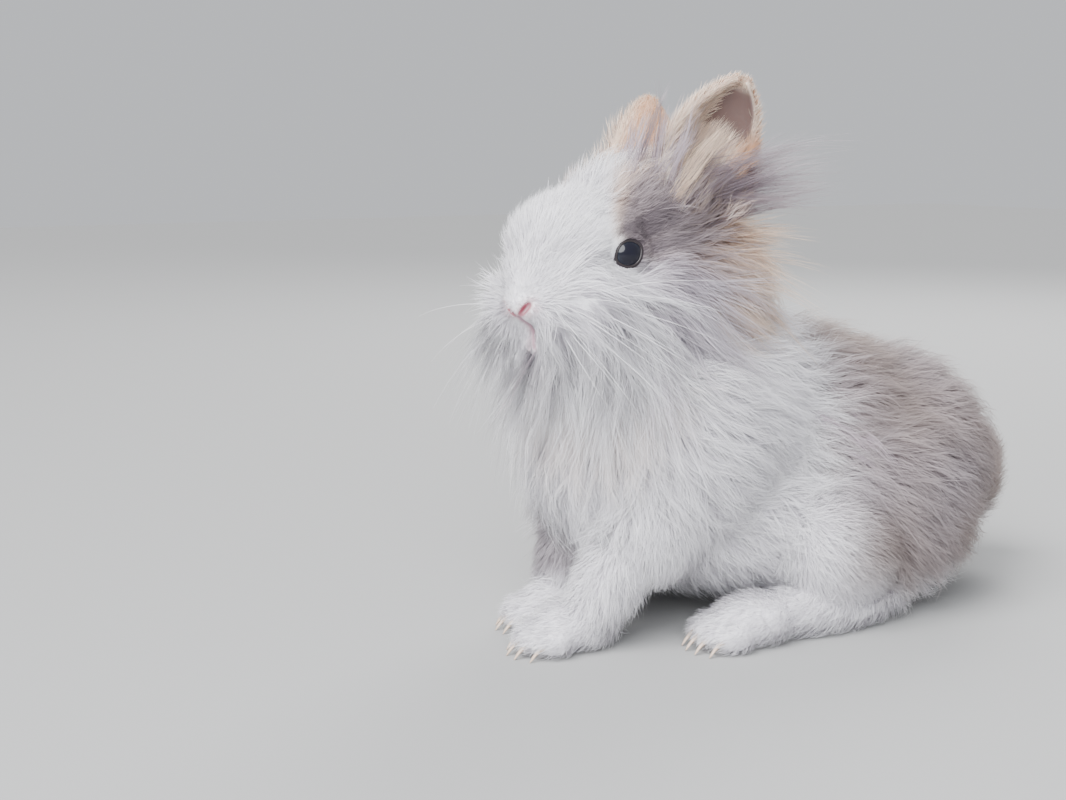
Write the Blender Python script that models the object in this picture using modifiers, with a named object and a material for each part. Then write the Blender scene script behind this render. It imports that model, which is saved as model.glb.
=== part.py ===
"""A young long-haired rabbit, sitting alert on a level floor, as a life-size display model.

Metres, +Z up. The rabbit faces -Y, its left side is +X, and its soles lie on Z = 0.
Each body region is moulded from named masses of flesh, each with the depth of its coat.
The long coat is laid over them lock by lock: each lock follows the lie of the fur there.
"""

import math
import random

import bmesh
import bpy
from mathutils import Euler, Matrix, Vector
from mathutils.bvhtree import BVHTree

# Driving sizes
GAP = 0.0003  # kept between touching pieces
STANCE_SHIFT = Vector((0.0, -0.0485, 0.0))  # brings the middle of the stance to the origin
HEAD_CENTRE = Vector((0.006, -0.031, 0.138))
HEAD_PITCH, HEAD_ROLL, HEAD_YAW = math.radians(10), math.radians(-5), math.radians(13)
EYE_RADIUS = 0.0080
EYE_PLACE = Vector((0.0168, -0.0085, 0.0050))  # left eye, in the head's own axes
LID_RADIUS, LID_THICKNESS = 0.0063, 0.0013
CLEARING_RADIUS, CLEARING_REACH = 0.0150, 0.0190
EAR_LENGTH, EAR_WIDTH, EAR_WALL = 0.060, 0.036, 0.0022
EAR_BASE = Vector((0.0200, 0.0290, 0.0120))  # left ear, in the head's own axes
CLAW_LENGTH, CLAW_RADIUS = 0.0065, 0.0011
SHORT_COAT = 0.0065  # coat up to this depth is part of the moulded form
CORE_SHARE = 0.4  # of a longer coat's depth, which the core under the locks takes
ROOT_DEPTH = 0.003  # how far a lock's root is sunk in
TRUNK_TRIANGLES = 1900
KEPT = 0.8  # of the triangles that a union leaves, most of the rest being slivers

# How a lock's width, thickness and lift run from its root to its tip
LOCK_PROFILE = [
    (0.00, 0.62, 1.00, 0.00),
    (0.32, 1.00, 1.00, 0.42),
    (0.68, 0.74, 0.75, 0.82),
    (1.00, 0.07, 0.16, 1.00),
]

# The plane that parts the neck from the torso: a point on it, and the side that the neck is on
NECK_PARTING = (Vector((0.0, -0.062, 0.064)), Vector((0.0, -0.547, 0.837)))

# Colour, roughness and metal of each finish
WHITE_COAT = ((0.86, 0.84, 0.85), 0.9, 0.0)
GREY_COAT = ((0.42, 0.37, 0.37), 0.9, 0.0)
FAWN_COAT = ((0.74, 0.56, 0.42), 0.85, 0.0)
DARK_EYE = ((0.02, 0.022, 0.04), 0.08, 0.0)


def finish(name, colour, roughness, metallic):
    made = bpy.data.materials.new(name)
    made.use_nodes = True
    shader = made.node_tree.nodes["Principled BSDF"]
    shader.inputs["Base Color"].default_value = (*colour, 1.0)
    shader.inputs["Roughness"].default_value = roughness
    shader.inputs["Metallic"].default_value = metallic
    return made


def ball(centre, radii, coat=0.0, turn=(0, 0, 0)):
    """One mass of flesh: its centre, its radii, the depth of coat on it, its turn in degrees."""
    spin = Euler([math.radians(a) for a in turn]).to_matrix().to_4x4()
    return Matrix.Translation(Vector(centre)) @ spin, Vector(radii), coat


def both_sides(*masses):
    """The same masses on the left and the right side."""
    flip = Matrix.Scale(-1, 4, (1, 0, 0))
    mirrored = [(flip @ place @ flip, radii, coat) for place, radii, coat in masses]
    return [*masses, *mirrored]


def carried(masses, place):
    return [(place @ where, radii, coat) for where, radii, coat in masses]


def head_place():
    turn = Euler((HEAD_PITCH, HEAD_ROLL, HEAD_YAW), "XYZ").to_matrix().to_4x4()
    return Matrix.Translation(HEAD_CENTRE) @ turn


# The masses of flesh
def head_masses():
    masses = [
        ball((0, 0.012, 0.008), (0.023, 0.026, 0.022), 0.008),
        ball((0, -0.012, 0.008), (0.017, 0.026, 0.016), 0.006),
        ball((0, -0.030, 0.001), (0.012, 0.015, 0.011), 0.004),
        ball((0, -0.0420, -0.0045), (0.0080, 0.0055, 0.0065)),
        ball((0, -0.030, -0.020), (0.010, 0.012, 0.009), 0.004),
        ball((0, 0.004, -0.018), (0.018, 0.026, 0.015), 0.020),
    ]
    masses += both_sides(
        ball((0.0085, -0.034, -0.0095), (0.0105, 0.0105, 0.0100), 0.003),
        ball((0.014, -0.026, -0.008), (0.012, 0.014, 0.013), 0.006),
        ball((0.015, 0.003, -0.013), (0.014, 0.024, 0.016), 0.018),
        ball((0.012, -0.006, 0.013), (0.009, 0.013, 0.007), 0.003),
    )
    return carried(masses, head_place())


def neck_masses():
    return [
        ball((0.002, -0.004, 0.122), (0.030, 0.034, 0.032), 0.013),
        ball((0, -0.020, 0.100), (0.028, 0.028, 0.026), 0.015),
    ]


def torso_masses():
    masses = [
        ball((0, 0.101, 0.054), (0.042, 0.042, 0.038), 0.012),
        ball((0, 0.062, 0.062), (0.040, 0.046, 0.041), 0.012),
        ball((0, 0.040, 0.040), (0.040, 0.058, 0.026), 0.010),
        ball((0, 0.014, 0.080), (0.036, 0.046, 0.038), 0.013),
        ball((0, -0.018, 0.074), (0.030, 0.029, 0.038), 0.015),
    ]
    return masses + both_sides(ball((0.024, -0.004, 0.072), (0.017, 0.026, 0.032), 0.012))


def tail_masses():
    return [
        ball((0, 0.158, 0.036), (0.011, 0.009, 0.015), 0.007, (-20, 0, 0)),
        ball((0, 0.161, 0.046), (0.009, 0.007, 0.010), 0.007),
    ]


def foreleg_masses(side):
    """The left foreleg is stretched forward, and the right one stands under the chest."""
    if side > 0:
        paw_y = -0.051
        masses = [
            ball((0.023, -0.018, 0.047), (0.012, 0.014, 0.022), 0.004, (-20, 0, 0)),
            ball((0.0180, -0.034, 0.027), (0.0090, 0.0100, 0.024), 0.003, (-36, 0, 0)),
        ]
    else:
        paw_y = -0.040
        masses = [
            ball((-0.021, -0.026, 0.048), (0.012, 0.012, 0.024), 0.004),
            ball((-0.0160, -0.032, 0.026), (0.0090, 0.0095, 0.023), 0.003, (-14, 0, 0)),
        ]
    paw_x = side * 0.0140
    masses.append(ball((paw_x, paw_y + 0.003, 0.0080), (0.0100, 0.0150, 0.0085), 0.002))
    for toe in (-1.5, -0.5, 0.5, 1.5):
        reach = 0.0135 - 0.0016 * toe * toe
        masses.append(ball((paw_x + toe * 0.0056, paw_y - reach, 0.0052), (0.0036, 0.0068, 0.0050), 0.001))
    return masses


def hindleg_masses(side):
    foot_x = side * 0.042
    masses = [
        ball((side * 0.037, 0.080, 0.040), (0.016, 0.036, 0.030), 0.010),
        ball((side * 0.041, 0.052, 0.030), (0.016, 0.022, 0.022), 0.005),
        ball((foot_x, 0.046, 0.0085), (0.0105, 0.034, 0.0100), 0.003),
        ball((foot_x, 0.012, 0.0080), (0.0112, 0.018, 0.0085), 0.002),
    ]
    for toe in (-1.5, -0.5, 0.5, 1.5):
        reach = 0.0170 - 0.0012 * toe * toe
        masses.append(ball((foot_x + toe * 0.0056, 0.012 - reach, 0.0054), (0.0038, 0.0080, 0.0052), 0.001))
    return masses


# Shaping
def remove(objects):
    for obj in objects:
        bpy.data.objects.remove(obj)


def mesh_object(name, mesh):
    made = bpy.data.objects.new(name, mesh)
    bpy.context.scene.collection.objects.link(made)
    return made


def shaped(name, bm):
    mesh = bpy.data.meshes.new(name)
    bm.to_mesh(mesh)
    bm.free()
    return mesh_object(name, mesh)


def settle(obj):
    """Applies an object's modifiers to its mesh."""
    graph = bpy.context.evaluated_depsgraph_get()
    done = bpy.data.meshes.new_from_object(obj.evaluated_get(graph))
    old = obj.data
    obj.modifiers.clear()
    obj.data = done
    bpy.data.meshes.remove(old)
    return obj


def moulded(name, masses, voxel, smooth, triangles, share=CORE_SHARE):
    """Masses, with all their short coat or a share of a long one, run into one smooth body."""
    bm = bmesh.new()
    for where, radii, coat in masses:
        depth = coat if coat <= SHORT_COAT else share * coat
        shape = Matrix.Diagonal((*[r + depth for r in radii], 1.0))
        bmesh.ops.create_icosphere(bm, subdivisions=3, radius=1.0, matrix=where @ shape)
    obj = shaped(name, bm)
    remesh = obj.modifiers.new("run_together", "REMESH")
    remesh.mode = "VOXEL"
    remesh.voxel_size = voxel
    even = obj.modifiers.new("even_out", "SMOOTH")
    even.factor = 0.5
    even.iterations = smooth
    settle(obj)
    count = sum(len(p.vertices) - 2 for p in obj.data.polygons)
    thin = obj.modifiers.new("fewer_faces", "DECIMATE")
    thin.ratio = min(1.0, triangles / count)
    return settle(obj)


def is_closed(obj):
    bm = bare_copy(obj)
    closed = len(bm.faces) > 3 and all(edge.is_manifold for edge in bm.edges)
    bm.free()
    return closed


def combined(obj, operation, cutter=None, group=None):
    """One Boolean step by either solver; a step that neither leaves closed is taken back."""
    whole = obj.data.copy()
    for solver in ("MANIFOLD", "EXACT"):
        step = obj.modifiers.new("combine", "BOOLEAN")
        step.operation = operation
        step.solver = solver
        if group:
            step.operand_type = "COLLECTION"
            step.collection = group
        else:
            step.object = cutter
        largest(settle(obj))
        if is_closed(obj):
            return True
        obj.data = whole.copy()
    return False


def cut(obj, cutters, operation="DIFFERENCE"):
    """Cuts an object by each cutter, and keeps its largest closed surface."""
    for cutter in cutters:
        combined(obj, operation, cutter=cutter)
    return obj


def fused(obj, pieces, kept=1.0):
    """Joins closed pieces to an object by one union, and keeps a share of the triangles."""
    group = bpy.data.collections.new("fused_pieces")
    for piece in pieces:
        if is_closed(piece):
            group.objects.link(piece)
    if not combined(obj, "UNION", group=group):
        for piece in group.objects:
            combined(obj, "UNION", cutter=piece)
    remove(pieces)
    bpy.data.collections.remove(group)
    if kept < 1.0:
        thin = obj.modifiers.new("fewer_faces", "DECIMATE")
        thin.ratio = kept
        settle(obj)
    return obj


def largest(obj):
    """Leaves only the closed surface with the most faces."""
    bm = bmesh.new()
    bm.from_mesh(obj.data)
    bmesh.ops.triangulate(bm, faces=bm.faces)
    left = set(bm.faces)
    best = set()
    while left:
        found = {left.pop()}
        edge_of = list(found)
        while edge_of:
            face = edge_of.pop()
            for edge in face.edges:
                for other in edge.link_faces:
                    if other in left:
                        left.discard(other)
                        found.add(other)
                        edge_of.append(other)
        if len(found) > len(best):
            best = found
    bmesh.ops.delete(bm, geom=[f for f in bm.faces if f not in best], context="FACES")
    bm.to_mesh(obj.data)
    bm.free()
    return obj


def bare_copy(obj):
    bm = bmesh.new()
    bm.from_mesh(obj.data)
    return bm


def copied(obj, name):
    return shaped(name, bare_copy(obj))


def grown(obj, by):
    """A cutter in an object's shape, larger by a little on every side."""
    bm = bare_copy(obj)
    bm.normal_update()
    moves = [(v, v.normal * by) for v in bm.verts]
    for v, move in moves:
        v.co += move
    return shaped(obj.name + "_cutter", bm)


def half_space(parting, front):
    """A block that fills one side of a parting plane, half the gap away from it."""
    point, normal = parting
    normal = normal.normalized()
    away = normal if front else -normal
    block = 0.5
    turn = away.to_track_quat("Z", "Y").to_matrix().to_4x4()
    centre = point + away * (0.5 * GAP + 0.5 * block)
    bm = bmesh.new()
    bmesh.ops.create_cube(bm, size=block, matrix=Matrix.Translation(centre) @ turn)
    return shaped("parting_block", bm)


def floor_block():
    bm = bmesh.new()
    bmesh.ops.create_cube(bm, size=0.5, matrix=Matrix.Translation((0, 0, -0.25)))
    return shaped("floor_block", bm)


# The coat
def ahead(parting, point):
    """How far a point lies on the front side of a parting plane."""
    return (point - parting[0]).dot(parting[1].normalized())


class Hide:
    """The surface that locks are laid on, and the surface that their tips reach."""

    def __init__(self, masses):
        self.skin = moulded("lying_surface", masses, 0.003, 8, 100000)
        self.tips = moulded("tip_surface", masses, 0.003, 8, 100000, 1.0)
        self.under = BVHTree.FromPolygons(*self.mesh_lists(self.skin))
        self.over = BVHTree.FromPolygons(*self.mesh_lists(self.tips))
        self.places = [(f.center.copy(), f.normal.copy()) for f in self.skin.data.polygons]
        remove([self.skin, self.tips])

    @staticmethod
    def mesh_lists(obj):
        points = [v.co.copy() for v in obj.data.vertices]
        return points, [tuple(f.vertices) for f in obj.data.polygons]

    def depth(self, point, normal):
        """How far the coat reaches above the lying surface."""
        hit, _, _, distance = self.over.ray_cast(point + normal * 0.0001, normal, 0.03)
        return distance if hit else 0.004

    def covers(self, point, margin=0.0):
        """Whether a point lies within the coat, by a margin."""
        hit, normal, _, _ = self.over.find_nearest(point)
        return (point - hit).dot(normal) < -margin

    def seeds(self, zone, spacing, draw):
        """Places spread evenly over a zone."""
        order = list(self.places)
        draw.shuffle(order)
        chosen = []
        for place, normal in order:
            if not zone(place, normal):
                continue
            if all((place - other).length > spacing for other, _ in chosen):
                chosen.append((place, normal))
        return chosen

    def route(self, place, normal, heading, length, curl):
        """Points and normals along the lie of the coat, from a root to a tip."""
        points = [(place, normal)]
        turned = 0.0
        for (before, *_), (after, *_) in zip(LOCK_PROFILE, LOCK_PROFILE[1:]):
            turned += curl * (after - before)
            way = heading(place, normal)
            way = Matrix.Rotation(turned, 3, normal) @ (way - normal * way.dot(normal)).normalized()
            hit, up, _, _ = self.under.find_nearest(place + way * length * (after - before))
            place = hit
            normal = (normal + up).normalized()
            points.append((place, normal))
        return points


def lock(route, width, thick, lift):
    """A flat, tapered lock of three sides, with its root sunk in."""
    bm = bmesh.new()
    before = None
    for i, ((place, normal), (_, broad, deep, rise)) in enumerate(zip(route, LOCK_PROFILE)):
        ahead_of = route[min(i + 1, len(route) - 1)][0] - route[max(i - 1, 0)][0]
        across = normal.cross(ahead_of).normalized()
        sunk = ROOT_DEPTH * (1.0 - min(1.0, rise * 3.2))
        centre = place + normal * (lift * rise - sunk)
        half = 0.5 * width * broad
        sag = normal * (0.12 * width * broad)
        corners = [centre - across * half - sag, centre + across * half - sag, centre + normal * thick * deep]
        ring = [bm.verts.new(c) for c in corners]
        if before:
            for j in range(3):
                bm.faces.new((before[j], before[(j + 1) % 3], ring[(j + 1) % 3], ring[j]))
        else:
            bm.faces.new(ring)
        before = ring
    bm.faces.new(reversed(before))
    bmesh.ops.recalc_face_normals(bm, faces=bm.faces)
    return shaped("lock", bm)


def eye_centres():
    place = head_place()
    return [place @ Vector((side * EYE_PLACE.x, EYE_PLACE.y, EYE_PLACE.z)) for side in (1, -1)]


def coat(hide, zone, heading, spacing, broad, draw, longer, clear_of):
    """Locks over a zone, each clear of the floor and the eyes, then cut clear of pieces."""
    eyes = eye_centres()
    made = []
    for place, normal in hide.seeds(zone, spacing, draw):
        lift = hide.depth(place, normal) * draw.uniform(0.90, 1.05)
        length = longer * draw.uniform(0.88, 1.12)
        curl = math.radians(draw.uniform(-28, 28))
        route = hide.route(place, normal, heading, length, curl)
        while min(point.z for point, _ in route) < 0.012 and length > 0.010:
            length *= 0.8
            route = hide.route(place, normal, heading, length, curl)
        if any((point - e).length < EYE_RADIUS + 0.0055 for point, _ in route for e in eyes):
            continue
        width = broad * draw.uniform(0.85, 1.15)
        made.append(lock(route, width, 0.22 * width, lift))
    return trimmed_clear(made, clear_of)


def tufts(hide, roots, way, length, broad, droop, draw, clear_of):
    """Longer locks that stand away from the coat and bend over under their own weight."""
    made = []
    for root in roots:
        place, normal, _, _ = hide.under.find_nearest(root)
        start = (way + Vector([draw.uniform(-0.22, 0.22) for _ in range(3)])).normalized()
        long = length * draw.uniform(0.8, 1.1)
        points = []
        for along, *_ in LOCK_PROFILE:
            point = place - normal * ROOT_DEPTH + start * long * along - Vector((0, 0, droop * along * along))
            points.append(point)
        up = (normal - start * normal.dot(start)).normalized()
        made.append(lock([(point, up) for point in points], broad, 0.24 * broad, 0.0))
    return trimmed_clear(made, clear_of)


def reach(obj):
    corners = [v.co for v in obj.data.vertices]
    low = Vector([min(c[i] for c in corners) for i in range(3)])
    high = Vector([max(c[i] for c in corners) for i in range(3)])
    return low, high


def trimmed_clear(pieces, cutters):
    """Cuts each lock by the cutters that it meets, and leaves out a lock that a cut would spoil."""
    kept = []
    for piece in pieces:
        low, high = reach(piece)
        clean = True
        for cutter in cutters:
            near, far = reach(cutter)
            if all(low[i] < far[i] and near[i] < high[i] for i in range(3)):
                clean = clean and combined(piece, "DIFFERENCE", cutter=cutter)
        if clean:
            kept.append(piece)
        else:
            remove([piece])
    return kept


def lie(point, normal):
    """Which way the trunk's coat lies: down the chest, and back and down along the sides."""
    back = min(1.0, max(0.0, (point.y + 0.045) / 0.05))
    return Vector((0, 0.12 + 0.95 * back, -1.0 + 0.45 * back))


def head_lie(point, normal):
    """Which way the head's coat lies: away from the nose, and down on the cheeks."""
    place = head_place()
    own = place.inverted() @ point
    away = (own - Vector((0, -0.050, -0.004))).normalized()
    droop = 0.75 if own.z < 0.004 else 0.0
    return place.to_3x3() @ away - Vector((0, 0, droop))


# The body's parts
def claw(tip, yaw):
    """A horn cone that leaves a toe forward and a little down."""
    turn = Euler((math.radians(102), 0, yaw), "XYZ").to_matrix().to_4x4()
    bm = bmesh.new()
    bmesh.ops.create_cone(bm, cap_ends=True, segments=5, radius1=CLAW_RADIUS, radius2=0.0003, depth=CLAW_LENGTH)
    bm.transform(Matrix.Translation(tip) @ turn)
    return shaped("claw", bm)


def toe_claws(masses, toes=4):
    """One claw in the end of each toe, which are the last masses of a leg."""
    made = []
    for where, radii, coat in masses[-toes:]:
        tip = where.translation + Vector((0, -radii.y - 0.0012, -0.0012))
        made.append(claw(tip, 0.0))
    return made


def leg(name, masses, voxel, smooth, triangles):
    made = moulded(name, masses, voxel, smooth, triangles)
    fused(made, toe_claws(masses))
    under = floor_block()
    cut(made, [under])
    bpy.data.objects.remove(under)
    return made


def eye(side):
    at = head_place() @ Vector((side * EYE_PLACE.x, EYE_PLACE.y, EYE_PLACE.z))
    bm = bmesh.new()
    bmesh.ops.create_uvsphere(bm, u_segments=14, v_segments=8, radius=EYE_RADIUS)
    bm.transform(Matrix.Translation(at))
    return shaped("eye_left" if side > 0 else "eye_right", bm)


def eye_axis(side):
    """Where an eye looks, in the head's own axes: out, a little forward and up."""
    return Vector((side * 0.90, -0.38, 0.12)).normalized()


def lids(side):
    """The upper and lower lid, a ring round the eye's opening."""
    centre = Vector((side * EYE_PLACE.x, EYE_PLACE.y, EYE_PLACE.z))
    out = eye_axis(side)
    rise = math.sqrt(EYE_RADIUS ** 2 - LID_RADIUS ** 2)
    turn = out.to_track_quat("Z", "Y").to_matrix().to_4x4()
    place = head_place() @ Matrix.Translation(centre + out * rise) @ turn
    bpy.ops.mesh.primitive_torus_add(
        major_segments=18, minor_segments=6, major_radius=LID_RADIUS, minor_radius=LID_THICKNESS
    )
    made = bpy.context.object
    made.name = "lids"
    made.data.transform(place)
    made.matrix_world = Matrix.Identity(4)
    return made


def disc_cutter(centre, radii, turn=(0, 0, 0)):
    """A flattened ball in the head's own axes, which cuts a slit."""
    where = ball(centre, radii, 0.0, turn)[0]
    shape = Matrix.Diagonal((*radii, 1.0))
    bm = bmesh.new()
    bmesh.ops.create_icosphere(bm, subdivisions=2, radius=1.0, matrix=head_place() @ where @ shape)
    return shaped("slit", bm)


def face_slits():
    """The nostrils, the cleft of the upper lip, and the line of the mouth."""
    made = [disc_cutter((0, -0.047, -0.0125), (0.0007, 0.0040, 0.0060))]
    for side in (1, -1):
        nostril = (side * 0.0042, -0.0462, -0.0040)
        made.append(disc_cutter(nostril, (0.0044, 0.0038, 0.0010), (0, -side * 32, side * 20)))
        mouth = (side * 0.0060, -0.0405, -0.0195)
        made.append(disc_cutter(mouth, (0.0072, 0.0060, 0.0009), (0, side * 22, side * 30)))
    return made


def eye_clearing(side):
    """The hollow in the coat that leaves an eye free."""
    centre = Vector((side * EYE_PLACE.x, EYE_PLACE.y, EYE_PLACE.z))
    at = head_place() @ (centre + eye_axis(side) * CLEARING_REACH)
    bm = bmesh.new()
    bmesh.ops.create_icosphere(bm, subdivisions=3, radius=CLEARING_RADIUS, matrix=Matrix.Translation(at))
    return shaped("eye_clearing", bm)


def head_body(own_space, whole):
    made = copied(whole, "head")
    cut(made, [own_space], "INTERSECT")
    clearings = [eye_clearing(1), eye_clearing(-1)]
    cut(made, clearings)
    remove(clearings)
    return fused(made, [lids(1), lids(-1)])


def ear(side, grow=0.0):
    """A cupped leaf on a short tube: open to the side and forward, and cut off in the head."""
    rows, columns = 10, 8
    bm = bmesh.new()
    bmesh.ops.create_grid(bm, x_segments=columns, y_segments=rows, size=1.0)
    for v in bm.verts:
        across, along = v.co.x, 0.5 * (v.co.y + 1.0)
        spread = math.sin(math.pi * (0.13 + 0.85 * along) ** 1.1) ** 0.7
        half = 0.5 * EAR_WIDTH * max(0.06, spread) + grow
        wrap = math.radians(150 - 82 * min(1.0, along / 0.45))
        radius = half / max(math.sin(min(wrap, math.pi / 2)), 0.3)
        angle = across * wrap
        rise = along * (EAR_LENGTH + grow) - 0.010
        v.co = Vector((-radius * (math.cos(angle) - math.cos(wrap) * 0.4), radius * math.sin(angle), rise))
    made = shaped("ear_left" if side > 0 else "ear_right", bm)
    wall = made.modifiers.new("wall", "SOLIDIFY")
    wall.thickness = EAR_WALL + 2 * grow
    wall.offset = 0.0
    settle(made)
    if side > 0:
        turn = Euler((math.radians(-29), math.radians(10), math.radians(-26)), "XYZ")
    else:
        turn = Euler((math.radians(-38), math.radians(4), math.radians(6)), "XYZ")
        made.data.transform(Matrix.Scale(-1, 4, (1, 0, 0)))
        made.data.flip_normals()
    base = Vector((side * EAR_BASE.x, EAR_BASE.y, EAR_BASE.z))
    made.data.transform(head_place() @ Matrix.Translation(base) @ turn.to_matrix().to_4x4())
    return made


def main():
    remove(list(bpy.data.objects))

    white = finish("white_coat", *WHITE_COAT)
    grey = finish("grey_coat", *GREY_COAT)
    fawn = finish("fawn_coat", *FAWN_COAT)
    dark = finish("dark_eye", *DARK_EYE)

    # The trunk: the head keeps a space of its own, and a plane parts the neck from the torso
    masses = head_masses() + neck_masses() + torso_masses()
    trunk = moulded("trunk", masses, 0.0022, 7, TRUNK_TRIANGLES)
    head_space = moulded("head_space", head_masses(), 0.003, 8, 420, 1.0)
    past_head = grown(head_space, 1.3 * GAP)
    above_torso = half_space(NECK_PARTING, True)
    below_neck = half_space(NECK_PARTING, False)
    around = grown(trunk, 1.3 * GAP)
    head = head_body(head_space, trunk)
    neck = cut(copied(trunk, "neck"), [above_torso], "INTERSECT")
    cut(neck, [past_head])
    torso = cut(copied(trunk, "torso"), [below_neck], "INTERSECT")
    cut(torso, [past_head])

    # What grows from the trunk, fitted to its surface
    ears = [ear(1), ear(-1)]
    legs = [
        leg("foreleg_left", foreleg_masses(1), 0.0016, 4, 400),
        leg("foreleg_right", foreleg_masses(-1), 0.0016, 4, 400),
        leg("hindleg_left", hindleg_masses(1), 0.0020, 4, 460),
        leg("hindleg_right", hindleg_masses(-1), 0.0020, 4, 460),
    ]
    tail = moulded("tail", tail_masses(), 0.002, 3, 140)
    for piece in [*ears, *legs, tail]:
        cut(piece, [around])

    eyes = [eye(1), eye(-1)]
    openings = [grown(e, 1.3 * GAP) for e in eyes] + face_slits()
    cut(head, openings)
    remove(openings)

    # The long coat of the thighs and the tail
    draw = random.Random(8)
    for side, haunch in ((1, legs[2]), (-1, legs[3])):
        thigh = Hide(hindleg_masses(side))

        def thigh_zone(point, normal):
            return normal.x * side > 0.2 and point.z > 0.030

        thigh_coat = coat(thigh, thigh_zone, lie, 0.0230, 0.0110, draw, 0.034, [around])
        fused(haunch, thigh_coat, KEPT)

    def tail_zone(point, normal):
        return normal.y > 0.2

    def tail_lie(point, normal):
        return Vector((point.x * 20, 0.5, 1.0))

    scut = Hide(tail_masses())
    fused(tail, coat(scut, tail_zone, tail_lie, 0.0130, 0.0090, draw, 0.016, [around]))

    # The long coat of the trunk, which hangs over from the head to the neck and from there to the torso
    hide = Hide(masses)
    face = Hide(head_masses())
    place = head_place()
    out_of_head = place.inverted()
    near = [grown(p, 1.3 * GAP) for p in [*ears, *legs, tail]]
    beside_head = cut(copied(around, "beside_head"), [head_space])
    beside_neck = cut(copied(around, "beside_neck"), [above_torso])
    beside_torso = cut(copied(around, "beside_torso"), [below_neck])

    def head_zone(point, normal):
        own = out_of_head @ point
        crown = own.y > 0.000 and own.z > 0.012
        cheek = own.y > -0.010 and own.z < -0.004
        return face.covers(point, 0.001) and (crown or cheek)

    def neck_zone(point, normal):
        return not face.covers(point, -0.001) and ahead(NECK_PARTING, point) > 0.001

    def torso_zone(point, normal):
        return ahead(NECK_PARTING, point) < -0.001 and normal.z > -0.5 and point.z > 0.020

    head_coat = coat(hide, head_zone, head_lie, 0.0155, 0.0100, draw, 0.029, [beside_head, *near])
    crown_roots = [place @ Vector((x, 0.018, 0.030)) for x in (-0.006, 0.004, 0.013)]
    crown_way = Vector((0.15, 0.75, 0.75))
    head_coat += tufts(hide, crown_roots, crown_way, 0.030, 0.0090, 0.007, draw, [beside_head, *near])
    for x in (-0.020, -0.012, -0.004, 0.004, 0.012, 0.020):
        chin_root = place @ Vector((x, -0.024 + 0.3 * abs(x), -0.030))
        chin_way = Vector((12 * x, -0.28, -1.0))
        head_coat += tufts(hide, [chin_root], chin_way, 0.034, 0.0110, 0.002, draw, [beside_head, *near])
    for side, y in ((-1, -0.028), (-1, -0.018), (1, -0.018), (-1, -0.008)):
        cheek_root = place @ Vector((side * 0.025, y, -0.016))
        cheek_way = Vector((side * 0.55, 0.05, -1.0))
        head_coat += tufts(hide, [cheek_root], cheek_way, 0.028, 0.0110, 0.003, draw, [beside_head, *near])
    fringe = [grown(piece, 2 * GAP) for piece in head_coat]

    past_neck = [past_head, beside_neck, *near, *fringe]
    neck_coat = coat(hide, neck_zone, lie, 0.0170, 0.0120, draw, 0.036, past_neck)
    nape_places = ((0.020, 0.016), (0.026, 0.008), (0.012, 0.018), (-0.016, 0.016))
    nape_roots = [place @ Vector((x, 0.046, z)) for x, z in nape_places]
    neck_coat += tufts(hide, nape_roots, Vector((0.05, 1.0, 0.35)), 0.034, 0.0075, 0.006, draw, past_neck)
    ruff = [grown(piece, 2 * GAP) for piece in neck_coat]

    past_torso = [past_head, beside_torso, *near, *fringe, *ruff]
    torso_coat = coat(hide, torso_zone, lie, 0.0240, 0.0140, draw, 0.048, past_torso)
    fused(head, head_coat, KEPT)
    fused(neck, neck_coat, KEPT)
    fused(torso, torso_coat, KEPT)
    remove([trunk, around, head_space, past_head, above_torso, below_neck, *near])
    remove([beside_head, beside_neck, beside_torso, *fringe, *ruff])

    rabbit = bpy.data.collections.new("young_long_haired_rabbit")
    bpy.context.scene.collection.children.link(rabbit)
    looks = [(head, white), (neck, white), (torso, white), (tail, grey)]
    looks += [(p, fawn) for p in ears] + [(p, dark) for p in eyes]
    looks += [(p, white) for p in legs[:2]] + [(p, grey) for p in legs[2:]]
    for piece, look in looks:
        piece.data.materials.clear()
        piece.data.materials.append(look)
        piece.location = STANCE_SHIFT
        rabbit.objects.link(piece)
        bpy.context.scene.collection.objects.unlink(piece)


main()
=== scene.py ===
import math

import bmesh
import bpy
import numpy as np
from mathutils import Euler, Matrix, Vector
from mathutils.bvhtree import BVHTree
from mathutils.kdtree import KDTree


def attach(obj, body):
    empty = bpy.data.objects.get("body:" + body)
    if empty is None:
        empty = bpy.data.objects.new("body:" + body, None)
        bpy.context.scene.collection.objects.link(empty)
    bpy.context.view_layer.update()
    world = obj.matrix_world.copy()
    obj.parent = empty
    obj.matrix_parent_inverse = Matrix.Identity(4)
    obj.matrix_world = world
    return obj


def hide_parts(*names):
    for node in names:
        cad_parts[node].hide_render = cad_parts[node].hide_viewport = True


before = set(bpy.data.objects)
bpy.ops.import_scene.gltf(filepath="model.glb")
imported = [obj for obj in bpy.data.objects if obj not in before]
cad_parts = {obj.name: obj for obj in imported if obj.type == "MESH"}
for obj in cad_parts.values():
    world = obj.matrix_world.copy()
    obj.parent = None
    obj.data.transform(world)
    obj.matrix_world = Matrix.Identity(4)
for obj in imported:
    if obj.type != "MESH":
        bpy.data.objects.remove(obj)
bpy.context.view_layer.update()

# The camera
# It looks at the rabbit from its left and a little above, as the photograph does. The place
# between its paws shows at the stance pixel of the frame.
STANCE = Vector((0.0, -0.0485, 0.0))
VIEW_AZIMUTH, VIEW_ELEVATION, VIEW_DISTANCE = math.radians(55), math.radians(17), 0.62
FOCAL_PIXELS = 1585.0
FRAME_PIXELS = (1066, 800)
STANCE_PIXEL = (666.0, 614.0)
SENSOR_WIDTH = 36.0

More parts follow.
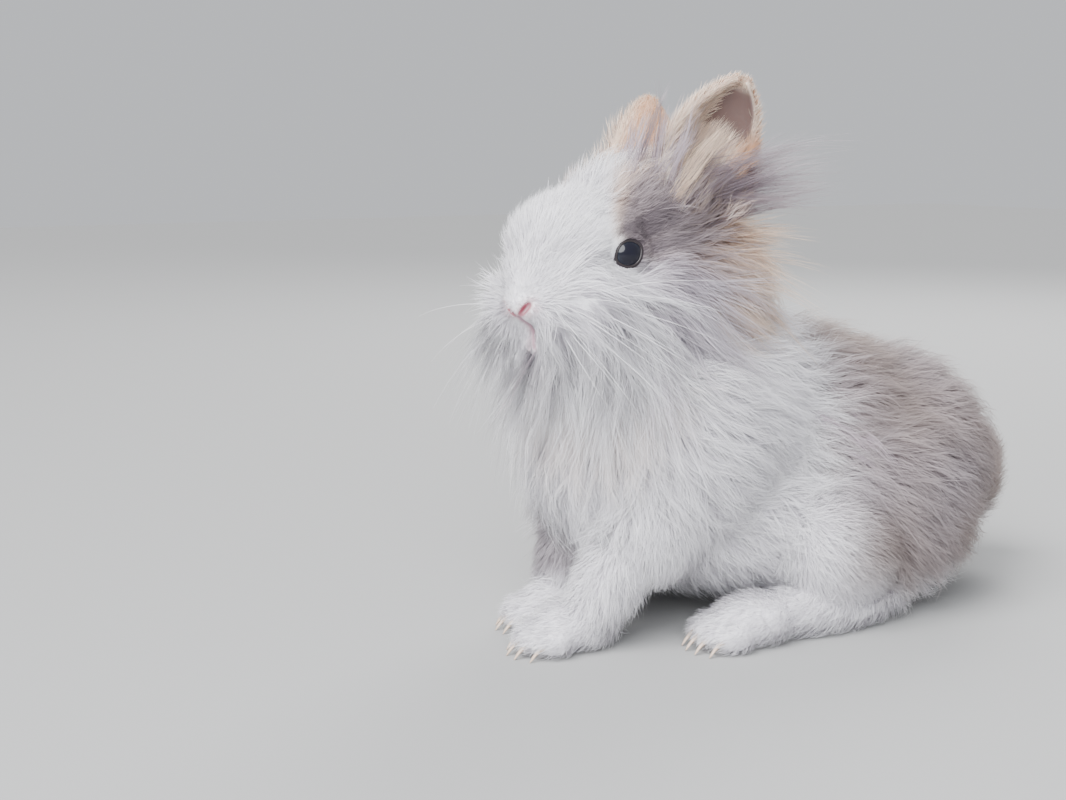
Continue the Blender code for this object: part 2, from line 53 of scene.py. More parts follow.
towards_camera = Vector((
    math.sin(VIEW_AZIMUTH) * math.cos(VIEW_ELEVATION),
    -math.cos(VIEW_AZIMUTH) * math.cos(VIEW_ELEVATION),
    math.sin(VIEW_ELEVATION),
))
view_right = Vector((math.cos(VIEW_AZIMUTH), math.sin(VIEW_AZIMUTH), 0.0))
view_up = towards_camera.cross(view_right)
pixel = VIEW_DISTANCE / FOCAL_PIXELS
aside, raised = FRAME_PIXELS[0] / 2 - STANCE_PIXEL[0], STANCE_PIXEL[1] - FRAME_PIXELS[1] / 2
aim = STANCE + view_right * pixel * aside + view_up * pixel * raised
camera_data = bpy.data.cameras.new("camera")
camera_data.sensor_width = SENSOR_WIDTH
camera_data.lens = FOCAL_PIXELS / FRAME_PIXELS[0] * SENSOR_WIDTH
camera = bpy.data.objects.new("camera", camera_data)
camera.location = STANCE + towards_camera * VIEW_DISTANCE
camera.rotation_euler = (aim - camera.location).to_track_quat("-Z", "Y").to_euler()
bpy.context.scene.collection.objects.link(camera)
bpy.context.scene.camera = camera

# The body under the coat
# One warm skin over the whole rabbit, from the masses of flesh that carry it: skull, muzzle,
# cheeks, neck, chest, back, legs and tail. Each mass also says how deep its coat is.
HEAD_CENTRE = Vector((0.006, -0.031, 0.138)) + STANCE
HEAD_TURN = Euler((math.radians(10), math.radians(-5), math.radians(13)), "XYZ")
SKIN_VOXEL = 0.0017
SOLE_HEIGHT = 0.0001

head_place = Matrix.Translation(HEAD_CENTRE) @ HEAD_TURN.to_matrix().to_4x4()
out_of_head = np.array(head_place.inverted())
head_axes = np.array(HEAD_TURN.to_matrix())

masses = []


def mass(region, centre, radii, coat, turn=(0, 0, 0), place=None):
    """One mass of flesh: its region, its place, its radii and the depth of the coat on it."""
    spin = Euler([math.radians(a) for a in turn]).to_matrix().to_4x4()
    where = (place or Matrix.Translation(STANCE)) @ Matrix.Translation(centre) @ spin
    masses.append((region, where, Vector(radii), coat))


def mass_pair(region, centre, radii, coat, place=None):
    x, y, z = centre
    mass(region, (x, y, z), radii, coat, place=place)
    mass(region, (-x, y, z), radii, coat, place=place)


for place_on_head in (
    ("head", (0, 0.012, 0.008), (0.023, 0.026, 0.022), 0.011),
    ("head", (0, -0.012, 0.008), (0.017, 0.026, 0.016), 0.008),
    ("head", (0, -0.030, 0.001), (0.012, 0.015, 0.011), 0.006),
    ("head", (0, -0.0420, -0.0045), (0.0080, 0.0055, 0.0065), 0.002),
    ("head", (0, -0.030, -0.020), (0.010, 0.012, 0.009), 0.013),
    ("head", (0, 0.004, -0.018), (0.018, 0.026, 0.015), 0.022),
):
    mass(*place_on_head, place=head_place)
for place_on_head in (
    ("head", (0.0085, -0.034, -0.0095), (0.0105, 0.0105, 0.0100), 0.008),
    ("head", (0.014, -0.026, -0.008), (0.012, 0.014, 0.013), 0.015),
    ("head", (0.015, 0.003, -0.013), (0.014, 0.024, 0.016), 0.021),
    ("head", (0.012, -0.006, 0.013), (0.009, 0.013, 0.007), 0.003),
    ("head", (0.0168, -0.0085, 0.0050), (0.0088, 0.0088, 0.0088), 0.004),
    ("crown", (0.0165, 0.0240, 0.0120), (0.0080, 0.0100, 0.0080), 0.016),
):
    mass_pair(*place_on_head, head_place)
mass("neck", (0.002, -0.004, 0.122), (0.030, 0.034, 0.032), 0.013)
mass("neck", (0, -0.020, 0.100), (0.028, 0.028, 0.026), 0.015)
mass("trunk", (0, 0.101, 0.054), (0.042, 0.042, 0.038), 0.012)
mass("trunk", (0, 0.062, 0.062), (0.040, 0.046, 0.041), 0.012)
mass("trunk", (0, 0.040, 0.040), (0.040, 0.058, 0.026), 0.010)
mass("trunk", (0, 0.014, 0.080), (0.036, 0.046, 0.038), 0.013)
mass("trunk", (0, -0.018, 0.074), (0.030, 0.029, 0.038), 0.015)
mass_pair("trunk", (0.024, -0.004, 0.072), (0.017, 0.026, 0.032), 0.012)
mass("tail", (0, 0.158, 0.036), (0.011, 0.009, 0.015), 0.007, (-20, 0, 0))
mass("tail", (0, 0.161, 0.046), (0.009, 0.007, 0.010), 0.007)
mass("tail", (0, 0.146, 0.040), (0.008, 0.012, 0.010), 0.010)
mass("foreleg", (0.023, -0.018, 0.047), (0.012, 0.014, 0.022), 0.007, (-20, 0, 0))
mass("foreleg", (0.0180, -0.034, 0.027), (0.0090, 0.0100, 0.024), 0.006, (-36, 0, 0))
mass("foreleg", (-0.021, -0.026, 0.048), (0.012, 0.012, 0.024), 0.007)
mass("foreleg", (-0.0160, -0.032, 0.026), (0.0090, 0.0095, 0.023), 0.006, (-14, 0, 0))

toes = []
for side, paw_y in ((1, -0.051), (-1, -0.040)):
    mass("paw", (side * 0.0140, paw_y + 0.003, 0.0080), (0.0100, 0.0150, 0.0085), 0.0045)
    for spread in (-1.5, -0.5, 0.5, 1.5):
        toe = (side * 0.0140 + spread * 0.0056, paw_y - 0.0135 + 0.0016 * spread ** 2, 0.0052)
        mass("paw", toe, (0.0036, 0.0068, 0.0050), 0.003)
        toes.append((Vector(toe), 0.0068))
for side in (1, -1):
    mass("haunch", (side * 0.037, 0.080, 0.040), (0.016, 0.036, 0.030), 0.010)
    mass("haunch", (side * 0.041, 0.052, 0.030), (0.016, 0.022, 0.022), 0.005)
    mass("paw", (side * 0.042, 0.046, 0.0085), (0.0105, 0.034, 0.0100), 0.005)
    mass("paw", (side * 0.042, 0.012, 0.0080), (0.0112, 0.018, 0.0085), 0.004)
    for spread in (-1.5, -0.5, 0.5, 1.5):
        toe = (side * 0.042 + spread * 0.0056, 0.012 - 0.0170 + 0.0012 * spread ** 2, 0.0054)
        mass("paw", toe, (0.0038, 0.0080, 0.0052), 0.003)
        toes.append((Vector(toe), 0.0080))


def mesh_object(name, bm):
    mesh = bpy.data.meshes.new(name)
    bm.to_mesh(mesh)
    bm.free()
    made = bpy.data.objects.new(name, mesh)
    bpy.context.scene.collection.objects.link(made)
    return made


def settle(piece):
    """Applies a piece's modifiers to its mesh."""
    graph = bpy.context.evaluated_depsgraph_get()
    done = bpy.data.meshes.new_from_object(piece.evaluated_get(graph))
    piece.modifiers.clear()
    piece.data = done


def smooth_faces(piece):
    for polygon in piece.data.polygons:
        polygon.use_smooth = True


bm = bmesh.new()
for _, where, radii, _ in masses:
    shape = where @ Matrix.Diagonal((*radii, 1.0))
    bmesh.ops.create_icosphere(bm, subdivisions=4, radius=1.0, matrix=shape)
skin = mesh_object("skin", bm)
run_together = skin.modifiers.new("run_together", "REMESH")
run_together.mode = "VOXEL"
run_together.voxel_size = SKIN_VOXEL
even_out = skin.modifiers.new("even_out", "SMOOTH")
even_out.factor = 0.5
even_out.iterations = 8
settle(skin)

# The face: finer faces round the eyes, the nose and the mouth, and then their folds
EYE_PLACE = Vector((0.0168, -0.0085, 0.0050))
EYE_RADIUS = 0.0080
LID_HALF_LENGTH, LID_HALF_HEIGHT = 0.0046, 0.0044
LID_TILT = math.radians(14)
SOCKET_DEPTH, LID_RISE, LID_FOLD, LID_REACH = 0.0068, 0.0082, 0.0004, 1.55
BEHIND_EYE = 9.0
EYE_REACH = 0.0125
NOSE_TIP = Vector((0.0, -0.0475, -0.0060))


def eye_frame(side):
    """An eye's centre and the axes out of it, across it and up it, in world space."""
    centre = head_place @ Vector((side * EYE_PLACE.x, EYE_PLACE.y, EYE_PLACE.z))
    out = Vector((side * 0.91, -0.36, 0.01)).normalized()
    up = (Vector((0, 0, 1)) - out * out.z).normalized()
    across = up.cross(out)
    turn = HEAD_TURN.to_matrix()
    return centre, turn @ out, turn @ across, turn @ up


def lid_edge(around):
    """The lid's edge across and up the eye, pulled out a little to its two corners."""
    corner = 1.0 + 0.09 * abs(math.cos(around)) ** 8
    x = LID_HALF_LENGTH * math.cos(around) * corner
    y = LID_HALF_HEIGHT * math.sin(around)
    return (
        x * math.cos(LID_TILT) - y * math.sin(LID_TILT),
        x * math.sin(LID_TILT) + y * math.cos(LID_TILT),
    )


def opening_share(side, points):
    """How far out from an eye's middle points lie, 1 at the lid's edge, and their distance."""
    centre, out, across, up = (np.array(part) for part in eye_frame(side))
    away = points - centre
    far = np.maximum(np.linalg.norm(away, axis=1), 1e-6)
    x, y = (away @ across) / far * EYE_RADIUS, (away @ up) / far * EYE_RADIUS
    x *= side
    long_way = x * math.cos(LID_TILT) + y * math.sin(LID_TILT)
    high_way = y * math.cos(LID_TILT) - x * math.sin(LID_TILT)
    around = np.arctan2(high_way / LID_HALF_HEIGHT, long_way / LID_HALF_LENGTH)
    edge_x, edge_y = (np.array(part) for part in zip(*(lid_edge(a) for a in around)))
    share = np.hypot(x, y) / np.hypot(edge_x, edge_y)
    return np.where(away @ out > 0.0, share, BEHIND_EYE), far


bm = bmesh.new()
bm.from_mesh(skin.data)
fine_spots = [(head_place @ NOSE_TIP, 0.0130), (head_place @ Vector((0, -0.042, -0.020)), 0.0120)]
fine_spots += [(eye_frame(side)[0], 0.0120) for side in (1, -1)]
for _ in range(2):
    edges = [
        e for e in bm.edges
        if any((e.verts[0].co - spot).length < reach for spot, reach in fine_spots)
    ]
    bmesh.ops.subdivide_edges(bm, edges=edges, cuts=1, use_grid_fill=True, smooth=0.3)
for side in (1, -1):
    middles = np.array([(e.verts[0].co + e.verts[1].co) / 2 for e in bm.edges])
    opening, far = opening_share(side, middles)
    near_lid = (opening > 0.80) & (opening < 1.40) & (far < 0.0110)
    edges = [e for e, near in zip(bm.edges, near_lid) if near]
    bmesh.ops.subdivide_edges(bm, edges=edges, cuts=1, use_grid_fill=True, smooth=0.3)
bmesh.ops.triangulate(bm, faces=bm.faces)
bm.to_mesh(skin.data)
bm.free()


def read(items, what, columns, kind=np.float64):
    """One property of every item of a mesh, in rows."""
    found = np.empty(len(items) * columns, dtype=kind)
    items.foreach_get(what, found)
    return found.reshape(-1, columns)


def points_of(mesh):
    return read(mesh.vertices, "co", 3)


def own_place(points):
    """Points in the head's own axes."""
    return points @ out_of_head[:3, :3].T + out_of_head[:3, 3]


def smooth_step(value, low, high):
    share = np.clip((value - low) / (high - low), 0.0, 1.0)
    return share * share * (3.0 - 2.0 * share)


def from_line(points, start, end):
    """Each point's distance from a straight run between two places."""
    start, end = np.array(start), np.array(end)
    run = end - start
    share = np.clip((points - start) @ run / (run @ run), 0.0, 1.0)
    return np.linalg.norm(points - start - share[:, None] * run, axis=1)


# The lines of the face, in the head's own axes: nostrils, cleft of the lip, and mouth
NOSTRIL = ((0.0005, -0.0478, -0.0088), (0.0060, -0.0462, -0.0042))
CLEFT = ((0.0, -0.0478, -0.0088), (0.0, -0.0440, -0.0200))
MOUTH = ((0.0, -0.0440, -0.0200), (0.0080, -0.0380, -0.0215))


def mirrored(line):
    return tuple((-x, y, z) for x, y, z in line)


def line_distances(own, depth=1.0):
    """How far points lie from the nostrils, the cleft and the mouth, or from the front at depth 0."""
    squash = np.array([1.0, depth, 1.0])
    front = np.array([1.0, 0.0, 1.0])
    left, right, mouth, other = (
        from_line(own * squash, np.array(start) * squash, np.array(end) * squash)
        for start, end in (NOSTRIL, mirrored(NOSTRIL), MOUTH, mirrored(MOUTH))
    )
    cleft = from_line(own * front, *(np.array(end) * front for end in CLEFT))
    cleft = np.where(own[:, 1] < -0.034, cleft, 1.0)
    return np.minimum(left, right), cleft, np.minimum(mouth, other)


points = points_of(skin.data)
own = own_place(points)
nostrils, cleft, mouth = line_distances(own)
CREASE_WIDTH = 0.0008
sink = np.zeros(len(points))
for distance, deep in ((nostrils, 0.0016), (cleft, 0.0011), (mouth, 0.0008)):
    sink = np.maximum(sink, deep * np.exp(-(distance / CREASE_WIDTH) ** 2))
points += (sink[:, None] * np.array([0.0, 1.0, 0.0])) @ head_axes.T
for side in (1, -1):
    centre, out, across, up = (np.array(part) for part in eye_frame(side))
    opening, far = opening_share(side, points)
    ray = (points - centre) / far[:, None]
    inside = (opening < 1.0) & (far < EYE_REACH)
    lid = (opening >= 1.0) & (opening < LID_REACH) & (far < 0.0115)
    points[inside] = centre + ray[inside] * SOCKET_DEPTH
    over_lid = np.clip((opening - 1.0) / 0.55, 0, 1)
    rise = LID_RISE + LID_FOLD * np.sin(np.pi * over_lid ** 0.6)
    points[lid] = centre + ray[lid] * rise[lid][:, None]
points[:, 2] = np.maximum(points[:, 2], SOLE_HEIGHT)
skin.data.vertices.foreach_set("co", points.ravel())
skin.data.update()

# The markings: a white blaze, chest and legs, a grey patch with a fawn edge round each eye and
# ear, cream behind the cheeks, and a grey and fawn saddle over the hind half.
# Painted shade is laid into these colours too: lavender under each eye and a cream tint under the beard.
WHITE = np.array([0.88, 0.87, 0.895])
GREY = np.array([0.315, 0.272, 0.296])
DARK_GREY = np.array([0.13, 0.108, 0.122])
FAWN = np.array([0.60, 0.375, 0.23])
LAVENDER_PAINTED_SHADE = np.array([0.48, 0.42, 0.48])
CREAM = np.array([0.78, 0.61, 0.48])
SADDLE = np.array([0.35, 0.257, 0.208])
PINK = np.array([0.25, 0.032, 0.060])
NOSTRIL_DARK = np.array([0.060, 0.004, 0.012])
MAUVE = np.array([0.33, 0.16, 0.21])
PINK_HAIR = np.array([0.58, 0.27, 0.31])
MAUVE_HAIR = np.array([0.52, 0.34, 0.40])
LID_DARK = np.array([0.035, 0.028, 0.033])
# Behind the cheek, round the eye and ear, the grey patch, the brow, behind the eye, and painted shade in
# lavender under it
HEAD_PATCHES = (
    (CREAM, 0.75, (0.030, 0.030, -0.006), (0.020, 0.022, 0.026)),
    (FAWN, 0.62, (0.022, 0.010, 0.016), (0.0185, 0.0245, 0.0205)),
    (GREY, 0.88, (0.0245, 0.008, 0.014), (0.0165, 0.0215, 0.0165)),
    (DARK_GREY, 0.75, (0.0230, -0.002, 0.0120), (0.0080, 0.0120, 0.0050)),
    (GREY, 0.55, (0.0260, 0.004, -0.001), (0.010, 0.016, 0.008)),
    # painted shade under the eye
    (LAVENDER_PAINTED_SHADE, 0.55, (0.0290, -0.002, -0.012), (0.010, 0.017, 0.014)),
)


def ripple(points, size, seed):
    """A smooth, even unrest between -1 and 1."""
    shift = np.array([seed * 1.7, seed * 2.3, seed * 3.1])
    at = points / size + shift
    waves = np.sin(at[:, 0] + 1.3 * np.sin(at[:, 1])) + np.sin(1.7 * at[:, 1] + np.sin(1.1 * at[:, 2]))
    return (waves + np.sin(1.3 * at[:, 2] + 0.8 * np.sin(1.9 * at[:, 0]))) / 3.0


def blob(points, centre, radii):
    """How deep points lie in a soft blob: 0 at its edge and outside, 1 well inside."""
    far = np.linalg.norm((points - np.array(centre)) / np.array(radii), axis=1)
    return 1.0 - smooth_step(far, 0.80, 1.12)


def blend(below, colour, share):
    return below + (np.array(colour) - below) * np.clip(share, 0.0, 1.0)[:, None]


def marking_and_painted_shade(points):
    """The coat's colour at each root, with painted shade under the eyes and under the beard."""
    own = own_place(points)
    own = own + 0.0016 * np.stack([ripple(points, 0.006, s) for s in (1, 2, 3)], axis=1)
    body = points - np.array(STANCE)
    colour = np.tile(WHITE, (len(points), 1))
    left_right = np.stack([np.abs(own[:, 0]), own[:, 1], own[:, 2]], axis=1)
    for tone, share, centre, radii in HEAD_PATCHES:
        colour = blend(colour, tone, share * blob(left_right, centre, radii))
    hind = smooth_step(body[:, 1] + 0.006 * ripple(points, 0.018, 5), 0.030, 0.056)
    hind *= smooth_step(body[:, 2] + 0.006 * ripple(points, 0.012, 6), 0.012, 0.034)
    mottle = 0.5 + 0.5 * ripple(points, 0.014, 7)
    saddle = SADDLE + (GREY * 1.15 - SADDLE) * mottle[:, None]
    colour = colour + (saddle - colour) * (0.85 * hind)[:, None]
    nostrils, cleft, mouth = line_distances(own_place(points))
    colour = blend(colour, PINK_HAIR, 0.8 * np.exp(-(nostrils / 0.0019) ** 2))
    near_lips = np.minimum(cleft, mouth + 0.0015)
    colour = blend(colour, MAUVE_HAIR, 0.75 * np.exp(-(near_lips / 0.0017) ** 2))
    # A cream tint on the throat: partly the chest's own tan, partly painted shade under the beard.
    throat_tan_and_shade = blob(own, (0.004, -0.014, -0.046), (0.026, 0.022, 0.016))
    colour = blend(colour, CREAM, 0.22 * throat_tan_and_shade)
    far_leg = blob(body, (-0.018, -0.030, 0.040), (0.016, 0.022, 0.022))
    colour = blend(colour, GREY, 0.75 * far_leg * (body[:, 1] < 0.0))
    return colour


def bare(points):
    """Where the skin is bare: the nostrils, the cleft and the lips, with their colour."""
    nostrils, cleft, mouth = line_distances(own_place(points))
    share = 1.0 - smooth_step(nostrils, 0.0010, 0.0020)
    lips = 1.0 - smooth_step(np.minimum(cleft, mouth + 0.0006), 0.0006, 0.0015)
    return share, lips


def set_colour(mesh, name, colour):
    layer = mesh.attributes.new(name, "FLOAT_COLOR", "POINT")
    rgba = np.ones((len(colour), 4), dtype=np.float32)
    rgba[:, :3] = colour
    layer.data.foreach_set("color", rgba.ravel())


def set_number(mesh, name, values):
    layer = mesh.attributes.new(name, "FLOAT", "POINT")
    layer.data.foreach_set("value", np.asarray(values, dtype=np.float32).ravel())


points = points_of(skin.data)
pink, lips = bare(points)
skin_colour = marking_and_painted_shade(points) * 0.92
skin_colour = blend(skin_colour, PINK, pink)
skin_colour = blend(skin_colour, MAUVE, 0.62 * lips)
slit = np.exp(-(line_distances(own_place(points))[0] / 0.0007) ** 2)
skin_colour = blend(skin_colour, NOSTRIL_DARK, 0.9 * slit)
for side in (1, -1):
    opening, far = opening_share(side, points)
    rim = (1.0 - smooth_step(opening, 1.07, 1.22)) * (far < 0.012)
    skin_colour = blend(skin_colour, LID_DARK, rim)
set_colour(skin.data, "coat_colour", skin_colour)
smooth_faces(skin)


def unwrap(piece):
    bpy.context.view_layer.objects.active = piece
    piece.select_set(True)
    bpy.ops.object.mode_set(mode="EDIT")
    bpy.ops.mesh.select_all(action="SELECT")
    bpy.ops.uv.smart_project(angle_limit=math.radians(66), island_margin=0.002)
    bpy.ops.object.mode_set(mode="OBJECT")
    piece.data.uv_layers[0].name = "OFBake"


unwrap(skin)


def material(name):
    made = bpy.data.materials.new(name)
    made.use_nodes = True
    return made, made.node_tree, made.node_tree.nodes["Principled BSDF"]


def attribute(tree, name):
    node = tree.nodes.new("ShaderNodeAttribute")
    node.attribute_name = name
    return node


def noise(tree, scale, detail=2.0):
    """An even grain that stays with the piece."""
    place = tree.nodes.new("ShaderNodeTexCoord")
    grain = tree.nodes.new("ShaderNodeTexNoise")
    grain.inputs["Scale"].default_value = scale
    grain.inputs["Detail"].default_value = detail
    tree.links.new(place.outputs["Object"], grain.inputs["Vector"])
    return grain.outputs["Fac"]


def marked_skin(name, pore_scale, pore_detail, relief_strength, roughness):
    """Skin in the colour of its marking, with fine pores."""
    made, tree, shader = material(name)
    relief = tree.nodes.new("ShaderNodeBump")
    relief.inputs["Strength"].default_value = relief_strength
    relief.inputs["Distance"].default_value = 0.0006
    tree.links.new(noise(tree, pore_scale, pore_detail), relief.inputs["Height"])
    tree.links.new(relief.outputs["Normal"], shader.inputs["Normal"])
    tree.links.new(attribute(tree, "coat_colour").outputs["Color"], shader.inputs["Base Color"])
    shader.inputs["Roughness"].default_value = roughness
    return made, shader


skin_finish, shader = marked_skin("skin_under_coat", 900.0, 4.0, 0.5, 0.62)
shader.inputs["Specular IOR Level"].default_value = 0.15
skin.data.materials.append(skin_finish)
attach(skin, "root")
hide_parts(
    "head", "neck", "torso", "tail", "foreleg_left", "foreleg_right", "hindleg_left", "hindleg_right"
)

# The ears' places, which the hair round their roots follows
EAR_BASE = Vector((0.0200, 0.0290, 0.0120))


def ear_place(side):
    turn = Euler([math.radians(a) for a in ((-29, 10, -26) if side > 0 else (-38, 4, 6))], "XYZ")
    base = Vector((side * EAR_BASE.x, EAR_BASE.y, EAR_BASE.z))
    flip = Matrix.Scale(side, 4, (1, 0, 0))
    return head_place @ Matrix.Translation(base) @ turn.to_matrix().to_4x4() @ flip


ear_axes = {side: np.array((ear_place(side).to_3x3() @ Vector((0, 0, 1))).normalized()) for side in (1, -1)}

# The coat
# Fine hairs in tufts that start on the skin, bend over and lie the way that each region's hair
# lies. Long hairs gather towards guide hairs, which follow the body. Each hair is a flat,
# tapered blade of mesh. Its colour is the marking at its root.
regions = sorted({region for region, *_ in masses})
mass_region = np.array([regions.index(region) for region, *_ in masses])
mass_centre = np.array([where.translation for _, where, *_ in masses])
mass_axes = np.array([where.to_3x3() for _, where, *_ in masses])
mass_radii = np.array([radii for _, _, radii, _ in masses])
mass_coat = np.array([coat for *_, coat in masses])
NEARNESS = 0.0035


def shares(points):
    """How much each mass has to say about the coat at each point."""
    away = points[:, None, :] - mass_centre[None]
    local = np.einsum("nmi,mij->nmj", away, mass_axes) / mass_radii[None]
    scaled = np.linalg.norm(local, axis=2)
    gap = (scaled - 1.0) * np.linalg.norm(away, axis=2) / np.maximum(scaled, 1e-6)
    weight = np.exp(-(gap - gap.min(axis=1, keepdims=True)) / NEARNESS)
    return weight / weight.sum(axis=1, keepdims=True)


def to_eyes(points):
    """Each point's distance from the nearer eye's centre."""
    left, right = (np.linalg.norm(points - np.array(eye_frame(side)[0]), axis=1) for side in (1, -1))
    return np.minimum(left, right)


def coat_depth(points, weight):
    """The depth of the coat: the masses' own, but short round the nose and the eyes."""
    depth = weight @ mass_coat
    own = own_place(points)
    to_nose = np.linalg.norm(own - np.array(NOSE_TIP), axis=1)
    aside = np.abs(own[:, 0])
    pads = smooth_step(aside, 0.0045, 0.0110) * smooth_step(-own[:, 2], 0.001, 0.009)
    low = np.maximum(smooth_step(-own[:, 2], 0.010, 0.018), pads)
    depth *= 0.22 + 0.78 * smooth_step(to_nose / (0.024 - 0.009 * low), 0.2, 1.0)
    pads *= smooth_step(-own[:, 1], 0.006, 0.022) * (own[:, 2] > -0.036)
    depth += 0.0065 * pads
    lip = (own[:, 1] < -0.034) * (own[:, 2] < -0.007) * (own[:, 2] > -0.0195)
    depth *= 1.0 - 0.85 * lip * (1.0 - smooth_step(aside, 0.0016, 0.0062))
    return depth * (0.22 + 0.78 * smooth_step(to_eyes(points), 0.0095, 0.0200))


def region_share(weight, region):
    return weight[:, mass_region == regions.index(region)].sum(axis=1)


def unit(vectors):
    return vectors / np.maximum(np.linalg.norm(vectors, axis=-1, keepdims=True), 1e-9)


def lie(points, weight):
    """Which way the hair lies at each point."""
    body = points - np.array(STANCE)
    own = own_place(points)
    away = unit(own - np.array([0.0, -0.050, -0.0072]))
    droop = 0.70 * smooth_step(-own[:, 2], -0.006, 0.010) + 0.10
    droop += 0.60 * smooth_step(-own[:, 2], 0.009, 0.020)
    parting = 1.0 - smooth_step(np.abs(own[:, 0]), 0.003, 0.007)
    parting = parting * (own[:, 1] < -0.036) * (own[:, 2] < -0.008)
    away[:, 0] += 0.7 * np.sign(own[:, 0]) * parting
    head_way = away @ head_axes.T - droop[:, None] * np.array([0.0, 0.0, 1.0])
    up_the_ear = np.where(own[:, :1] > 0.0, ear_axes[1], ear_axes[-1])
    back = smooth_step(body[:, 1], -0.045, 0.010)[:, None]
    down = np.array([0.0, 0.12, -1.0])
    trunk_way = unit(down + back * np.array([0.0, 0.95, 0.42]))
    ways = {
        "head": unit(head_way),
        "crown": unit(up_the_ear + 0.25 * head_way),
        "neck": trunk_way,
        "trunk": trunk_way,
        "tail": np.tile(unit(np.array([0.0, 0.6, 0.8])), (len(points), 1)),
        "foreleg": np.tile(unit(np.array([0.0, -0.15, -1.0])), (len(points), 1)),
        "haunch": np.tile(unit(np.array([0.0, 0.75, -0.65])), (len(points), 1)),
        "paw": np.tile(unit(np.array([0.0, -1.0, -0.15])), (len(points), 1)),
    }
    total = np.zeros((len(points), 3))
    for region, way in ways.items():
        total += region_share(weight, region)[:, None] * way
    for side in (1, -1):
        centre, out, *_ = (np.array(part) for part in eye_frame(side))
        from_eye = points - centre
        near = 1.0 - smooth_step(np.linalg.norm(from_eye, axis=1), 0.0090, 0.0160)
        aside = unit(from_eye - out * (from_eye @ out)[:, None])
        towards = np.maximum(-np.sum(total * aside, axis=1), 0.0)
        total += aside * (1.15 * near * towards)[:, None]
    return unit(total)


def tangential(way, normal):
    return unit(way - normal * np.sum(way * normal, axis=-1, keepdims=True))


class Roots:
    """Places on a surface where hair starts, with normals and places on the unwrap."""

    def __init__(self, piece, count, density, seed):
        mesh = piece.data
        mesh.calc_loop_triangles()
        draw = np.random.default_rng(seed)
        tris = read(mesh.loop_triangles, "vertices", 3, np.int32)
        corners = read(mesh.loop_triangles, "loops", 3, np.int32)
        co = points_of(mesh)
        normals = read(mesh.vertices, "normal", 3)
        uv = read(mesh.uv_layers["OFBake"].data, "uv", 2, np.float32)
        a, b, c = co[tris[:, 0]], co[tris[:, 1]], co[tris[:, 2]]
        area = 0.5 * np.linalg.norm(np.cross(b - a, c - a), axis=1)
        chance = area * density((a + b + c) / 3.0, unit(normals[tris].sum(axis=1)))
        picked = draw.choice(len(tris), count, p=chance / chance.sum())
        u, v = draw.random(count), draw.random(count)
        over = u + v > 1.0
        u[over], v[over] = 1.0 - u[over], 1.0 - v[over]
        bary = np.stack([1.0 - u - v, u, v], axis=1)[:, :, None]
        self.points = (co[tris[picked]] * bary).sum(axis=1)
        self.normals = unit((normals[tris[picked]] * bary).sum(axis=1))
        self.uv = (uv[corners[picked]] * bary).sum(axis=1)
        self.draw = draw


PATCH = 0.003  # size of a hair's patch on the unwrap
ROOT_SINK = 0.0004
CUT_SHARE = 0.40


def blades(name, paths, normals, width, colour, root_uv, draw, roll=0.5):
    """One joined mesh of flat, tapered blades along paths (blade, step, xyz)."""
    count, steps = paths.shape[:2]
    tangent = unit(np.gradient(paths, axis=1))
    side_way = unit(np.cross(tangent, normals))
    face_way = np.cross(side_way, tangent)
    angle = draw.normal(0.0, roll, count)[:, None, None]
    side_way = side_way * np.cos(angle) + face_way * np.sin(angle)
    face_way = np.cross(side_way, tangent)
    along = np.linspace(0.0, 1.0, steps)
    taper = (1.0 - along ** 1.6) * (0.75 + 0.5 * along)
    half = 0.5 * width[:, None, None] * taper[None, :, None]
    verts = np.empty((count, 2 * steps - 1, 3))
    verts[:, 0:-1:2] = (paths - side_way * half)[:, :-1]
    verts[:, 1:-1:2] = (paths + side_way * half)[:, :-1]
    verts[:, -1] = paths[:, -1]
    shade = unit(0.90 * normals + 0.22 * face_way)
    vert_normals = np.empty_like(verts)
    vert_normals[:, 0:-1:2] = unit(shade - 0.25 * side_way)[:, :-1]
    vert_normals[:, 1:-1:2] = unit(shade + 0.25 * side_way)[:, :-1]
    vert_normals[:, -1] = shade[:, -1]
    per = 2 * steps - 1
    quads = [(2 * i, 2 * i + 1, 2 * i + 3, 2 * i + 2) for i in range(steps - 2)]
    tip = (per - 3, per - 2, per - 1)
    pattern = np.array([index for quad in quads for index in quad] + list(tip), dtype=np.int32)
    loops = (pattern[None] + (np.arange(count) * per)[:, None]).astype(np.int32).ravel()
    sizes = np.array([4] * len(quads) + [3], dtype=np.int32)
    totals = np.tile(sizes, count)
    starts = np.concatenate([[0], np.cumsum(totals)[:-1]]).astype(np.int32)
    mesh = bpy.data.meshes.new(name)
    mesh.vertices.add(count * per)
    mesh.vertices.foreach_set("co", verts.astype(np.float32).ravel())
    mesh.loops.add(len(loops))
    mesh.loops.foreach_set("vertex_index", loops)
    mesh.polygons.add(len(totals))
    mesh.polygons.foreach_set("loop_start", starts)
    mesh.polygons.foreach_set("use_smooth", np.ones(len(totals), dtype=bool))
    mesh.update(calc_edges=True)
    far = np.empty((count, per))
    far[:, 0:-1:2] = along[:-1]
    far[:, 1:-1:2] = along[:-1]
    far[:, -1] = 1.0
    set_number(mesh, "along", far)
    set_colour(mesh, "coat_colour", np.repeat(colour, per, axis=0))
    bent = mesh.attributes.new("custom_normal", "FLOAT_VECTOR", "POINT")
    bent.data.foreach_set("vector", vert_normals.astype(np.float32).ravel())
    across = np.zeros((count, per))
    across[:, 0:-1:2], across[:, 1:-1:2] = -0.5, 0.5
    spot = np.stack([across, far - 0.5], axis=2) * PATCH + root_uv[:, None, :]
    layer = mesh.uv_layers.new(name="OFBake")
    layer.data.foreach_set("uv", spot.reshape(-1, 2)[loops].astype(np.float32).ravel())
    made = bpy.data.objects.new(name, mesh)
    bpy.context.scene.collection.objects.link(made)
    return made


